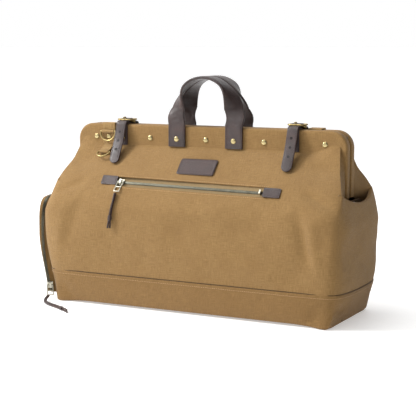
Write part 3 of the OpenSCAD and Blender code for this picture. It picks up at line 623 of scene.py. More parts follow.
def face_piece(name, zipped, seed, side=(1, 1, 1)):
    grid = [with_cheeks(face_row(min(z, CROWN_Z), zipped, seed), min(z, CROWN_Z)) for z in face_levels]
    grid = np.array(grid)
    grid[-1, :, 2] += 1.5
    grid = slump(grid * side) * side
    piece = Piece(name)
    first_slot = CHEEK - 1 + 25 + int(np.argmin(abs(np.array(columns) - slot_left)))
    last_slot = CHEEK - 1 + 25 + int(np.argmin(abs(np.array(columns) - slot_right)))
    low_row = len(low_levels) - 1

    def in_slot(j, i):
        return zipped and low_row <= j < low_row + 4 and first_slot <= i < last_slot

    piece.cloth(grid, CANVAS, canvas, facing, in_slot)
    return piece, grid, (low_row, low_row + 4, first_slot, last_slot)


front, front_grid, slot_place = face_piece("front_canvas", True, 0.0)
normals = unit(np.cross(np.gradient(front_grid, axis=1), np.gradient(front_grid, axis=0)))
j0, j1, i0, i1 = slot_place
for j in (j0 - 1, j1 + 1):
    # one line of thread above and one below the opening
    share = 0.55
    inner_row = j + (1 if j < j0 else -1)
    line = front_grid[inner_row, i0 - 1:i1 + 2] * (1 - share) + front_grid[j, i0 - 1:i1 + 2] * share
    front.stitches(line, normals[j, i0 - 1:i1 + 2], canvas_thread)
front_bend = ("bag", "front_frame", CREASE_START, CREASE_END)
front.make(None, "canvas", ["front_wall", "front_panel"], front_bend)

back = face_piece("back_canvas", False, 5.3, (-1, -1, 1))[0]
back_bend = ("bag", "back_frame", (0, 0.075, 0.215), (0, 0.018, 0.262))
back.turned().make(None, "canvas", ["back_wall", "back_panel"], back_bend)


def end_grid():
    """The right end: up from the boot, leaning in above the shoulder, over a soft ridge and into the valley."""
    shares = np.sin(np.linspace(-1, 1, 61) * math.pi / 2)
    columns_made = []
    for s in shares:
        ridge = 192 + 19 * abs(s) ** 2.0
        column = []
        heights = np.concatenate([np.linspace(BOOT_TOP - 5, SHOULDER_Z, 34), SHOULDER_Z + (ridge - SHOULDER_Z)
                                  * np.linspace(0, 1, 12)[1:]])
        for z in heights:
            share = fold_share(z)
            y = s * share * face_depth(z)
            curve = (1 - abs(s * share) ** FLAT_Y) ** (1 / FLAT_X)
            edge = (1 - share ** FLAT_Y) ** (1 / FLAT_X)
            lean = smooth((z - SHOULDER_Z + 10) / 50)
            bulge = (wall_x(z) - corner_x(z)) * (1 - 0.45 * lean)
            x = fold_x(z) + bulge * (curve - edge) / (1 - edge)
            keep = smooth((1 - abs(s)) / 0.2) * smooth((z - BOOT_TOP) / 22)
            x += keep * (dent(290, y, z, 2.0) * 1.3 - 2.0 * math.exp(-((z - 92) / 24) ** 2))
            column.append((x, y, z))
        x0, y0, z0 = column[-1]
        for a in (30, 65, 100, 140):
            r = 3.6
            column.append((x0 - r + r * math.cos(math.radians(a)), y0, z0 + r * math.sin(math.radians(a))))
        x1, _, z1 = column[-1]
        for drop, pull in ((5, 2), (12, 4), (19, 6), (25, 13), (28, 36)):
            column.append((x1 - pull * (1 - 0.5 * abs(s)), y0 * (1 - 0.02 * drop / 19),
                    z1 - drop * (1 - 0.25 * abs(s))))
        columns_made.append(column)
    return np.array(columns_made).transpose(1, 0, 2)


right_grid = end_grid()
for name, node in (("right_end_canvas", "right_end_wall"), ("left_end_canvas", "left_end_wall")):
    piece = Piece(name)
    turn = (-1, -1, 1) if name.startswith("left") else (1, 1, 1)
    piece.cloth(slump(right_grid * turn), CANVAS, canvas, facing)
    piece.make("bag", "canvas", [node])


# ---------- boot ----------

def boot_ring(z, grow, count=300):
    """A closed level of the boot, with pinched bottom corners."""
    ring = []
    length, depth = wall_x(z) + grow, wall_y(z) + grow
    for a in np.linspace(-math.pi, math.pi, count, endpoint=False):
        c, s = math.cos(a), math.sin(a)
        # equal steps round a rectangle, then pulled onto the rounded outline
        scale = ((abs(c) / length) ** 12 + (abs(s) / depth) ** 12) ** (-1 / 12)
        x, y = c * scale, s * scale
        x = max(-length * 0.99999, min(length * 0.99999, x))
        limit = depth * (1 - (abs(x) / length) ** FLAT_X) ** (1 / FLAT_Y)
        if abs(y) > limit:
            y = math.copysign(limit, y)
        elif abs(x) > 0.9 * length:
            x = math.copysign(length * (1 - (abs(y) / depth) ** FLAT_Y) ** (1 / FLAT_X), x)
        near = math.hypot(abs(x) - (length - 10), abs(y) - (depth - 7))
        low = max(0, 1 - z / 44)
        pinch = 13 * low ** 1.3 * math.exp(-(near / 15) ** 2)
        x += math.copysign(0.42 * pinch, x)
        y += math.copysign(0.90 * pinch, y)
        tuck = 3.2 * smooth((z - 2) / 14) * smooth((46 - z) / 22) * math.exp(-((near - 24) / 13) ** 2)
        wave = dent(x, y, z, 9.0) * 0.45 * smooth(z / 12) * smooth((BOOT_TOP - z) / 16)
        y -= math.copysign(tuck - wave, y) * (abs(y) > 0.7 * depth)
        x -= math.copysign(tuck - wave, x) * (abs(y) <= 0.7 * depth)
        ring.append((x, y, z + 3.0 * (1 - min(1, z / 20)) * smooth(near / 60)))
    return ring


boot = Piece("boot_canvas")
boot_levels = [0.4, 0, 0.2, 1.2, 3, 6, 10, 15, 20, 26, 32, 38, 44, 49, 52, 54, 55.4, 56.2, 56]
grow_at = [-14, -6, -2.5, -0.8, 0, 0.2, 0.4, 0.6, 0.7, 0.8, 0.9, 1.0, 1.0, 1.1, 1.2, 1.2, 1.0, 0.3, -1.2]
boot_grid = slump([boot_ring(max(0, z), g) for z, g in zip(boot_levels, grow_at)])
boot.grid(boot_grid, boot_canvas, closed=True)
underside = slump([boot_ring(0.2, -14 - 12 * k) for k in range(0, 7)])
boot.grid(underside[::-1], boot_canvas, closed=True)
centre = slump(boot_ring(0.2, -86))
boot.add(centre, [tuple(range(len(centre)))[::-1]], boot_canvas)
boot_line = slump(boot_ring(50.5, 1.35) + boot_ring(50.5, 1.35)[:1])
outward = np.cross(along(boot_line), np.array([0, 0, 1.0]))
boot.stitches(boot_line + outward * 0.05, outward, canvas_thread)
# a thin dark tube round the boot's top edge: painted shadow of the gap under the overlapping edge
boot.tube(slump(boot_ring(56.5, 0.25) + boot_ring(56.5, 0.25)[:1]), 0.75, seam_gap_painted_shadow, 6)
boot.make("bag", "canvas", ["boot"])


# ---------- sleeves on the frame ----------

def frame_stations():
    """Matching points of the frame's outer and inner outline, from the left foot round to the right foot."""
    low, r = HINGE_Z + 11, 28
    outer, inner = [], []
    for z in np.linspace(low, FRAME_TOP - r, 16):
        outer.append((-FRAME_HALF, z))
        inner.append((-FRAME_HALF + 20, min(z, CROWN_Z - 3)))
    for a in np.linspace(0, math.pi / 2, 14)[1:]:
        outer.append((-FRAME_HALF + r - r * math.cos(a), FRAME_TOP - r + r * math.sin(a)))
        t = a / (math.pi / 2)
        inner.append((-FRAME_HALF + 20 + 10 * t ** 2, CROWN_Z - 3 + 3 * smooth(t)))
    for x in np.linspace(-FRAME_HALF + r, 0, 40)[1:]:
        outer.append((x, FRAME_TOP))
        inner.append((x * (FRAME_HALF - 30) / (FRAME_HALF - r), CROWN_Z))
    outer += [(-x, z) for x, z in outer[-2::-1]]
    inner += [(-x, z) for x, z in inner[-2::-1]]
    return np.array(outer), np.array(inner)


def sleeve_piece(name):
    outer, inner = frame_stations()
    piece = Piece(name)
    r = 4.0
    grid = []
    for (ox, oz), (ix, iz) in zip(outer, inner):
        across = np.array([ix - ox, iz - oz])
        width = np.linalg.norm(across)
        d = across / width
        section = []
        for a in np.linspace(0, math.pi / 2, 5):     # back edge of the rim
            section.append((2.2 - 2.2 * math.sin(a), -5.2 + 2.2 * math.cos(a)))
        for a in np.linspace(0, math.pi / 2, 6):     # front edge of the rim
            section.append((r - r * math.cos(a), -14 - r * math.sin(a)))
        wave = 0.5 * noise.noise(Vector((ox / 22, oz / 22, 1.7)))
        for t in (0.25, 0.4, 0.55, 0.7, 0.82, 0.92):
            section.append((r + (width - r) * t, -FACE_Y + (wave + 0.25) * math.sin(math.pi * t)))
        section += [(width - 1.2, -FACE_Y + 0.1), (width, -FACE_Y + 1.2), (width, -12), (width, -6),
                (width - 1.5, -3.2),
                    (width * 0.6, -3.0), (width * 0.3, -3.0), (2.2, -3.0)]
        grid.append([(ox + d[0] * w, y, oz + d[1] * w) for w, y in section])
    grid = np.array(grid)
    piece.grid(grid, canvas, closed=True, flip=False)
    n = grid.shape[1]
    piece.add(grid[0], [tuple(range(n))], canvas)
    piece.add(grid[-1], [tuple(range(n))[::-1]], canvas)
    return piece


front_sleeve = sleeve_piece("front_sleeve_canvas")
front_sleeve.make("front_frame", "canvas", ["front_sleeve"])
sleeve_piece("back_sleeve_canvas").turned().make("back_frame", "canvas", ["back_sleeve"])


# ---------- webs between the arms ----------

for side in (-1, 1):
    for half, body in ((-1, "front_frame"), (1, "back_frame")):
        name = f"{'left' if side < 0 else 'right'}_{'front' if half < 0 else 'back'}_web"
        rows = []
        for z in np.linspace(197, 300, 30):
            fill = smooth((z - 197) / 14)
            row = []
            for t in np.linspace(0, 1, 9):
                y = half * 3.4 * t
                inward = 247.5 - 6.5 * fill * (1 - t) ** 1.4 + 3.0 * t
                row.append((side * inward, y, z))
            rows.append(row if side * half > 0 else row[::-1])
        web = Piece(name)
        web.cloth(rows, 0.9, canvas, facing)
        node = "left_web" if side < 0 else "right_web"
        web.make(None, "canvas", [node], ("bag", body, (0, half * 0.0002, 0.25), (0, half * 0.0034, 0.25)))


# ---------- rivets ----------

for side, body in ((1, "front"), (-1, "back")):
    piece = Piece(f"{body}_rivet_heads")
    places = [(k * RIVET_PITCH, {1: 4.0, 3: 3.0}.get(abs(k), 0.1)) for k in range(-4, 5)] + [(-WEBBING_X, 1.7)]
    for x, cover in places:
        piece.dome((x, -FACE_Y - cover, RIVET_Z), (0, -1, 0), rivet_brass)
        piece.dome((x, -2.6, RIVET_Z), (0, 1, 0), rivet_brass, 3.6, 0.9)
    if side < 0:
        piece.turned()
    piece.make(f"{body}_frame", "rivet_brass", [f"{body}_rivets"])


# ---------- handles ----------

def handle_piece(name):
    """One strap: flat on the frame, turned a quarter above it, arched over and back down."""
    width, thick, rise_up = 32, 4, 83
    arch_r, clear = HANDLE_X - 2, FRAME_TOP + 4
    spring = FRAME_TOP + rise_up - arch_r
    y0, y1 = -FACE_Y - thick / 2, -width / 2 - 1.2
    leg = [(-HANDLE_X, y0, z) for z in np.linspace(273.8, clear, 14)]
    leg += [(-HANDLE_X - 3 * math.sin(math.pi * t) + 2 * t, y0 + (y1 - y0) * t, clear + (spring - clear) * t)
            for t in np.linspace(0, 1, 16)[1:]]
    arch = [(-arch_r * math.cos(a), y1, spring + arch_r * math.sin(a)) for a in np.linspace(0, math.pi,
            50)[1:-1]]
    path = np.array(leg + arch + [(-x, y, z) for x, y, z in leg[::-1]])
    run = lengths(path) - (clear - 273.8)
    run = np.minimum(run, run[::-1])
    turn = np.array([math.radians(90 * smooth(r / 80)) for r in run])
    side = np.where(path[:, 0] < 0, -1, 1)
    across = np.stack([side * np.cos(turn), np.sin(turn), np.zeros(len(turn))], axis=1)
    piece = Piece(name)
    piece.ribbon(path, across, width, thick, leather, 1.3, 0.5, groove=0.35)
    out = unit(np.cross(along(path), across))
    for s in (-1, 1):
        piece.stitches(path + across * s * (width / 2 - 2.7) + out * (thick / 2 + 0.05), out, brown_thread,
                4.2, 3.1)
    for s in (-1, 1):
        piece.stitches([(s * HANDLE_X - 13, y0 - 2.1, 276), (s * HANDLE_X + 13, y0 - 2.1, 276)], (0, -1, 0),
                       brown_thread, 4.2, 3.1)
    return piece


handle_piece("front_handle_strap").make(None, "leather", ["front_handle", "front_handle_tabs"],
                                        ("front_frame", "front_handle", (0, -0.0225, 0.3008), (0, -0.0225,
                                                0.3062)))
handle_piece("back_handle_strap").turned().make(None, "leather", ["back_handle", "back_handle_tabs"],
                                                ("back_frame", "back_handle", (0, 0.0225, 0.3008), (0,
                                                        0.0225, 0.3062)))


# ---------- closure straps ----------

STRAP_W, STRAP_T, TIP_Z = 19, 2.4, 252
BUCKLE_Y, BUCKLE_Z = -3, 313
lap = STRAP_T / 2 + 0.3
over_z = BUCKLE_Z + 3.4 + STRAP_T / 2 + 0.2
strap_line = [(FACE_Y + lap, RIVET_Z - 11), (FACE_Y + lap, FRAME_TOP - 5), (FACE_Y + lap + 0.5,
        FRAME_TOP - 0.5),
              (FACE_Y + 0.6, FRAME_TOP + 2.2), (FACE_Y - 3, FRAME_TOP + 3.2), (BUCKLE_Y + 11, FRAME_TOP + 4.7),
              (BUCKLE_Y + 6.5, over_z - 1.6), (BUCKLE_Y + 1.5, over_z), (BUCKLE_Y - 1.5, over_z),
              (BUCKLE_Y - 5, over_z - 0.9), (BUCKLE_Y - 9.5, FRAME_TOP + 4.9), (-FACE_Y - 1.8, FRAME_TOP + 4.8),
              (-FACE_Y - 5.4, FRAME_TOP + 1.6), (-FACE_Y - 8, FRAME_TOP - 6), (-FACE_Y - 15.3, RIVET_Z - 5),
              (-panel_y(TIP_Z) - 8, TIP_Z)]


def strap_piece(name, x):
    path = flow([(x, y, z) for y, z in strap_line], 110)
    end = unit(path[-1] - path[-3])
    tip = [path[-1] + end * d for d in np.linspace(0.8, STRAP_W / 2 - 0.3, 9)]
    widths = [1.0] * len(path) + [math.sqrt(max(0.02,
            1 - (d / (STRAP_W / 2)) ** 2)) for d in np.linspace(0.8, STRAP_W / 2 - 0.3, 9)]
    path = np.vstack([path, tip])
    across = np.tile([1.0, 0, 0], (len(path), 1))
    piece = Piece(name)
    piece.ribbon(path, across, STRAP_W, STRAP_T, leather, 1.0, 0.25, np.array(widths), 0.25)
    out = unit(np.cross(along(path), across))
    for s in (-1, 1):
        side = across * s * (STRAP_W / 2 - 2.4)
        piece.stitches((path + side + out * (STRAP_T / 2 + 0.05))[4:-8], out[4:-8], brown_thread, 4.0, 2.9,
                0.36)
    # three near-black discs laid on the strap's face: painted shade standing in for the punched holes
    for k in (1, 2, 3):
        near = int(np.argmin(abs(path[:, 2] - (TIP_Z + 14.5 * k)) + 50 * (path[:, 1] > -20)))
        n, c = out[near], path[near] + out[near] * (STRAP_T / 2 + 0.26)
        u = np.array([1.0, 0, 0])
        v = np.cross(n, u)
        a = np.linspace(0, TAU, 18, endpoint=False)
        rings = np.array([[c + n * h + r * (u * math.cos(w) + v * math.sin(w)) for w in a]
                          for r, h in ((2.5, -0.2), (2.3, 0.12), (2.0, 0.14), (1.9, 0.06))])
        faces = [(j * 18 + (i + 1) % 18, j * 18 + i, (j + 1) * 18 + i, (j + 1) * 18 + (i + 1) % 18)
                 for j in range(3) for i in range(18)]
        piece.add(rings.reshape(-1, 3), [f[::-1] for f in faces] + [tuple(range(54, 72))], hole_painted_shade)
    return piece


# near-black finish for the strap holes: painted shade of the holes, not a leather colour
hole_painted_shade = hide("painted hole shade", rgb(12, 7, 6), rgb(20, 12, 10), 900.0, 0.8)
for side, x in (("left", -STRAP_X), ("right", STRAP_X)):
    strap_piece(f"{side}_closure_strap", x).make(f"{side}_strap", "leather", [f"{side}_strap"])

chapes = Piece("buckle_keepers")
for x in (-STRAP_X, STRAP_X):
    path = flow([(x, y, z) for y, z in [(-FACE_Y - lap + 0.3, RIVET_Z - 13), (-FACE_Y - lap + 0.3,
            FRAME_TOP - 6),
                                        (-FACE_Y - lap - 0.4, FRAME_TOP - 0.4), (-FACE_Y - 0.4,
                                                FRAME_TOP + 1.9),
                                        (-FACE_Y + 3, FRAME_TOP + 1.9), (BUCKLE_Y - 4.6, FRAME_TOP + 1.9),
                                        (BUCKLE_Y - 3.5, FRAME_TOP + 3.4)]], 40)
    chapes.ribbon(path, np.tile([1.0, 0, 0], (len(path), 1)), STRAP_W, STRAP_T, leather, 1.0)
chapes.make("front_frame", "leather", ["buckle_chapes"])


# ---------- webbing tabs ----------

upper_ring = (-FACE_Y - 4.6, FRAME_TOP - 13)
lower_ring = (-panel_y(261) - 5.6, 261)


def webbing_piece(name):
    piece = Piece(name)
    t, x = 1.5, -WEBBING_X
    band = flow([(x, y, z) for y, z in [(-3 + t / 2 + 0.1, RIVET_Z + 5), (-3 + t / 2 + 0.1, FRAME_TOP - 1),
            (-4.2, FRAME_TOP + 1.1),
                                        (-FACE_Y + 1, FRAME_TOP + 1.1), (-FACE_Y - 0.9, FRAME_TOP - 1),
                                        (-FACE_Y - 0.9, CROWN_Z + 2)]], 50)
    fall = flow([(x, y, z) for y, z in [(-FACE_Y - 0.9, CROWN_Z + 3.5), (-FACE_Y - 1.4, CROWN_Z + 1),
            (-panel_y(CROWN_Z - 6) - 3.1, CROWN_Z - 6),
                                        (lower_ring[0] + 2.0, lower_ring[1] + 2.4)]], 16)
    piece.ribbon(band, np.tile([1.0, 0, 0], (len(band), 1)), 25, t, webbing, 0.7)
    piece.ribbon(fall, np.tile([1.0, 0, 0], (len(fall), 1)), 19, t, webbing, 0.7)
    for (y, z), half in ((upper_ring, 12.4), (lower_ring, 9.3)):
        loop = []
        for a in np.linspace(0, TAU, 25):
            loop.append((y + 2.65 * math.cos(a), z + 2.65 * math.sin(a)))
        rolled = np.array([[(x + s * half, yy, zz) for s in np.linspace(1, -1, 7)] for yy, zz in loop])
        piece.cloth(rolled, 1.3, webbing, webbing)
    y = -FACE_Y - 1.75
    w, low, high = 9.6, CROWN_Z + 3, RIVET_Z + 6
    for a, b in (((-w, low), (w, low)), ((w, low), (w, high)), ((w, high), (-w, high)), ((-w, high), (-w, low)),
                 ((-w, low), (w, high)), ((-w, high), (w, low))):
        line = [(x + a[0], y, a[1]), (x + b[0], y, b[1])]
        piece.stitches(line, (0, -1, 0), canvas_thread, 3.0, 2.3)
    return piece


webbing_piece("front_webbing_tab").make("front_frame", "webbing", ["front_webbing"])
webbing_piece("back_webbing_tab").turned().make("back_frame", "webbing", ["back_webbing"])


# ---------- patches on the front panel ----------

def patch_grid(w, h, z, x0, out, n=(40, 20)):
    """A rounded rectangle laid on the front panel, as a grid whose edge rows follow its outline."""
    grid = []
    for v in np.linspace(-1, 1, n[1]):
        row = []
        for u in np.linspace(-1, 1, n[0]):
            k = 14
            fold = (abs(u) ** k + abs(v) ** k) ** (1 / k)
            fold = fold / max(abs(u), abs(v), 1e-6)
            du, dv = u / fold * w / 2, v / fold * h / 2
            tilt = panel_tilt(z)
            x, hz = x0 + du, z + dv * math.cos(tilt)
            row.append((x, -front_surface(x, hz), hz))
        grid.append(row)
    return lift(grid, out)


label = Piece("blank_label")
face = patch_grid(69, 33, 243, 0, 2.0)
rows, cols = face.shape[:2]
v, u = np.meshgrid(np.linspace(-1, 1, rows), np.linspace(-1, 1, cols), indexing="ij")
rim = np.minimum((1 - abs(u)) * 34.5, (1 - abs(v)) * 16.5)
emboss = -0.55 * np.exp(-((rim - 4.6) / 0.9) ** 2) - 0.7 * np.exp(-(rim / 0.6) ** 2)
emboss += 0.15 * np.array([[noise.noise(Vector((a * 3, b * 2, 0.3))) for a in u[0]] for b in v[:, 0]])
face = lift(face, emboss)
label.cloth(face, 2.4, label_leather, label_leather)
raised = unit(np.cross(np.gradient(face, axis=1), np.gradient(face, axis=0)))


def inset_loop(grid, normal, share_u, share_v):
    """Points round a patch a little inside its outline."""
    r, c = grid.shape[:2]
    j, i = int(round(share_v * (r - 1))), int(round(share_u * (c - 1)))
    index = [(j, k) for k in range(i, c - i)] + [(k, c - 1 - i) for k in range(j, r - j)]
    index += [(r - 1 - j, k) for k in range(c - 1 - i, i - 1, -1)] + [(k, i) for k in range(r - 1 - j, j - 1,
            -1)]
    return np.array([grid[a] for a in index]), np.array([normal[a] for a in index])


loop, loop_out = inset_loop(face, raised, 0.035, 0.07)
label.stitches(loop + loop_out * 0.1, loop_out, brown_thread, 3.4, 2.4)
label.make(None, "label_leather", ["label_patch"], front_bend)

tabs = Piece("zip_end_tabs")
for s in (-1, 1):
    grid = patch_grid(30, 17, ZIP_Z - ZIP_FALL * s * (ZIP_HALF + 14), ZIP_X + s * (ZIP_HALF + 14), 2.1,
            n=(22, 14))
    grid[..., 2] -= ZIP_FALL * (grid[..., 0] - ZIP_X - s * (ZIP_HALF + 14))
    tabs.cloth(grid, 2.3, leather, leather)
    out = unit(np.cross(np.gradient(grid, axis=1), np.gradient(grid, axis=0)))
    ring, ring_out = inset_loop(grid, out, 0.1, 0.14)
    tabs.stitches(ring + ring_out * 0.12, ring_out, brown_thread, 3.2, 2.3)
tabs.make("bag", "leather", ["front_zip_tabs"])


# ---------- front zip ----------

tilt = panel_tilt(ZIP_Z)


def on_zip(along_x, out, up):
    """A place on the zip's own plane: along the zip, out of the bag and up the slope."""
    x = ZIP_X + along_x
    z = -math.tan(math.radians(1)) * along_x + up
    y, zz = -out, z
    return (x, -panel_y(ZIP_Z) + y * math.cos(tilt) + zz * math.sin(tilt),
            ZIP_Z - y * math.sin(tilt) + zz * math.cos(tilt))


tape_piece = Piece("front_zip_tape_cloth")
for s in (-1, 1):
    rows = [[on_zip(x, -4.0 + 0.5 * math.exp(-((abs(up) - 3.4) / 0.8) ** 2), up) for x in np.linspace(-146,
            146, 90)]
            for up in (np.linspace(2.5, 13, 10) if s > 0 else np.linspace(-13, -2.5, 10))]
    tape_piece.cloth(rows, 0.9, tape, tape)
tape_piece.make("bag", "zip_tape", ["front_zip_tape"])


def tooth(piece, centre, run, side, out, long=3.4, wide=1.05, high=2.1):
    """One cast tooth: a tapered block with softened top edges."""
    c, r, s, o = (np.asarray(k, float) for k in (centre, run, side, out))
    rings = []
    for h, shrink in ((-0.5, 1.0), (0.3, 1.0), (0.5, 0.7)):
        rings.append([c + o * high * h + r * wide * a * shrink + s * long * b * (0.5 + 0.5 * shrink)
                      for a, b in ((-0.5, -0.5), (0.5, -0.5), (0.4, 0.5), (-0.4, 0.5))])
    faces = [(4 * j + i, 4 * j + (i + 1) % 4, 4 * j + 4 + (i + 1) % 4, 4 * j + 4 + i) for j in (0,
            1) for i in range(4)]
    piece.add(np.array(rings).reshape(-1, 3), faces + [(3, 2, 1, 0), (8, 9, 10, 11)], teeth_metal)


chain = Piece("front_zip_teeth")
zip_out = np.array(on_zip(0, 1, 0)) - np.array(on_zip(0, 0, 0))
zip_up = unit(np.array(on_zip(0, 0, 1)) - np.array(on_zip(0, 0, 0)))
zip_run = unit(np.array(on_zip(1, 0, 0)) - np.array(on_zip(0, 0, 0)))
for k, x in enumerate(np.arange(-ZIP_HALF + 4.6, ZIP_HALF - 4.4, 1.15)):
    s = 1 if k % 2 else -1
    tooth(chain, on_zip(x, -3.6, s * 0.95), zip_run, zip_up * -s, zip_out)
chain.make("bag", "zip_teeth", ["front_zip_chain"])


# ---------- inner pocket and lining ----------

pouch = Piece("inner_pocket")
mouth_top, pouch_face, pouch_deep, pouch_low = ZIP_Z + 13, -60, 9, 128
rings = []
for z in np.linspace(pouch_low, mouth_top, 24):
    squeeze = smooth((z - pouch_low) / 8) * 0.9 + 0.1
    ring = []
    for a in np.linspace(0, TAU, 80, endpoint=False):
        c, s = math.cos(a), math.sin(a)
        k = (abs(c) ** 8 + abs(s) ** 8) ** (-1 / 8)
        ring.append((c * k * 144, pouch_face + pouch_deep / 2 + s * k * pouch_deep / 2 * squeeze
                     + 0.25 * dent(c * k * 144, 0, z, 4.0) * 0.3, z))
    rings.append(ring)
inner_rings = [[(x * 0.992, pouch_face + pouch_deep / 2 + (y - pouch_face - pouch_deep / 2) * 0.8, max(z,
        pouch_low + 1.2))
                for x, y, z in ring] for ring in rings]
pouch.grid(rings, facing, closed=True)
pouch.grid(inner_rings, facing, closed=True, flip=True)
n = len(rings[0])
pouch.add(rings[0], [tuple(range(n))[::-1]], facing)
pouch.add(inner_rings[0], [tuple(range(n))], facing)
pouch.grid([rings[-1], inner_rings[-1]], facing, closed=True)
pouch.make("bag", "lining", ["pocket_bag"])

lining = Piece("lining_cloth")


def lining_ring(z, inset):
    length, depth = wall_x(z) - inset, wall_y(z) - inset
    ring = []
    for a in np.linspace(-math.pi, math.pi, 160, endpoint=False):
        x = length * math.copysign(abs(math.cos(a)) ** (2 / FLAT_X), math.cos(a))
        y = depth * math.copysign((1 - min(1, abs(x) / length) ** FLAT_X) ** (1 / FLAT_Y), math.sin(a))
        ring.append((x - 7 * (x > 0), y, z))
    return ring


rings = [lining_ring(z, 7.0) for z in np.linspace(9, 158, 26)]
lining.grid(rings, facing, closed=True)
inside_rings = [lining_ring(z, 8.0) for z in np.linspace(10, 158, 26)]
lining.grid(inside_rings, facing, closed=True, flip=True)
lining.grid([rings[-1], inside_rings[-1]], facing, closed=True)
n = len(rings[0])
lining.add(rings[0], [tuple(range(n))[::-1]], facing)
lining.add(inside_rings[0], [tuple(range(n))], facing)
lining.make("bag", "lining", ["lining"])


# ---------- pocket on the left end ----------

POCKET_LOW, POCKET_TOP, POCKET_ROUND, REACH = 14, 180, 34, 0.9


def end_point(z, inset, s):
    y = s * CORNER_SHARE * (wall_y(z) - inset)
    return np.array([(wall_x(z) - inset) * (1 - (abs(y) / (wall_y(z) - inset)) ** FLAT_Y) ** (1 / FLAT_X), y,
            z])


def pocket_out(z):
    return 14 + 0.6 * (wall_x(BELLY_Z) - wall_x(z))


def pocket_s(z):
    base = POCKET_TOP - POCKET_ROUND
    return REACH - 0.28 * (0 if z < base else 1 - math.sqrt(max(0, 1 - ((z - base) / POCKET_ROUND) ** 2)))


def pocket_point(z, share, s, more=0.0):
    if share > 0.58:
        share += (share - 0.58) / 0.42 * (cloth_out(z) / pocket_out(z) - 1)
    return end_point(z, -share * pocket_out(z) - more, s)


def cloth_out(z):
    """How far the pocket's canvas stands off the end; it is drawn in towards the foot."""
    return pocket_out(z) - 2 - 7 * smooth((120 - z) / 100)


pocket = Piece("end_pocket_canvas")
rows = []
levels_up = np.concatenate([np.linspace(POCKET_LOW, POCKET_TOP - POCKET_ROUND, 26),
                            [POCKET_TOP - POCKET_ROUND + POCKET_ROUND * math.sin(a)
                             for a in np.linspace(0.08, 1.5, 12)]])
for z in levels_up:
    row = []
    for s in np.linspace(-1, 1, 41):
        p = end_point(z, -cloth_out(z), s * pocket_s(z))
        edge = smooth((1 - abs(s)) / 0.25) * smooth((z - POCKET_LOW) / 14) * smooth((POCKET_TOP - z) / 16)
        p[0] += edge * (0.8 + 0.5 * dent(300, p[1], z, 6.0)) - 1.6 * (1 - smooth((1 - abs(s)) / 0.05))
        row.append(p)
    rows.append(row)
rows = np.array(rows)
pocket.cloth(rows, CANVAS, canvas, facing)
foot = [[end_point(z, -cloth_out(z) * t - 0.3, s * REACH) for s in np.linspace(-1, 1, 41)]
        for t, z in ((0.03, POCKET_LOW - 1.5), (0.3, POCKET_LOW - 2), (0.7, POCKET_LOW - 1.6), (0.93,
                POCKET_LOW - 0.6), (1.0, POCKET_LOW + 1.5))]
pocket.cloth(foot, 1.4, canvas, facing)
out = unit(np.cross(np.gradient(rows, axis=1), np.gradient(rows, axis=0)))
line = np.concatenate([rows[:-2, 2], rows[-3, 3:-3], rows[-3::-1, -3]])
line_out = np.concatenate([out[:-2, 2], out[-3, 3:-3], out[-3::-1, -3]])
pocket.stitches(line + line_out * 0.1, line_out, canvas_thread)
pocket.turned().make("bag", "canvas", ["end_pocket_panel"])


def arch(share, grow, more=0.0):
    """Up one side of the end pocket, over its top and down the other."""
    up = [pocket_point(z, share, REACH + grow, more) for z in np.linspace(POCKET_LOW,
            POCKET_TOP - POCKET_ROUND, 30)]
    bend = [pocket_point(POCKET_TOP - POCKET_ROUND + POCKET_ROUND * math.sin(a), share,
                         pocket_s(POCKET_TOP - POCKET_ROUND + POCKET_ROUND * math.sin(a)) + grow, more)
            for a in np.linspace(0.1, 1.45, 12)]
    over = [pocket_point(POCKET_TOP + 60 * grow, share, s, more) for s in (0.5, 0.38, 0.25, 0.12)]
    half = up + bend + over
    top = [pocket_point(POCKET_TOP + 60 * grow, share, 0, more)]
    return np.array(half + top + [(p[0], -p[1], p[2]) for p in half[::-1]])


end_tape = Piece("end_zip_tape_cloth")
strip = [arch(share, 0.026 + 0.006 * math.sin(math.pi * share)) for share in np.linspace(0.06, 1.0, 10)]
for rows, finish in ((strip[:4], canvas), (strip[3:7], tape), (strip[6:], canvas)):
    end_tape.cloth(rows, 1.2, finish, finish)
end_tape.turned().make("bag", "zip_tape", ["end_zip_tape"])

end_teeth = Piece("end_zip_teeth")
middle, inner_edge, outer_edge = arch(0.5, 0.042), arch(0.42, 0.042), arch(0.58, 0.042)
run = lengths(middle)
for k, at in enumerate(np.arange(1.0, run[-1] - 1, 1.15)):
    c = np.array([np.interp(at, run, middle[:, i]) for i in range(3)])
    side = unit(np.array([np.interp(at, run, (outer_edge - inner_edge)[:, i]) for i in range(3)]))
    ahead = unit(np.array([np.interp(at, run, along(middle)[:, i]) for i in range(3)]))
    facing_out = unit(np.cross(ahead, side))
    s = 1 if k % 2 else -1
    tooth(end_teeth, c + side * s * 0.95, ahead, side * -s, facing_out)
end_teeth.turned().make("bag", "zip_teeth", ["end_zip_chain"])


# ---------- thongs on the zip pulls ----------


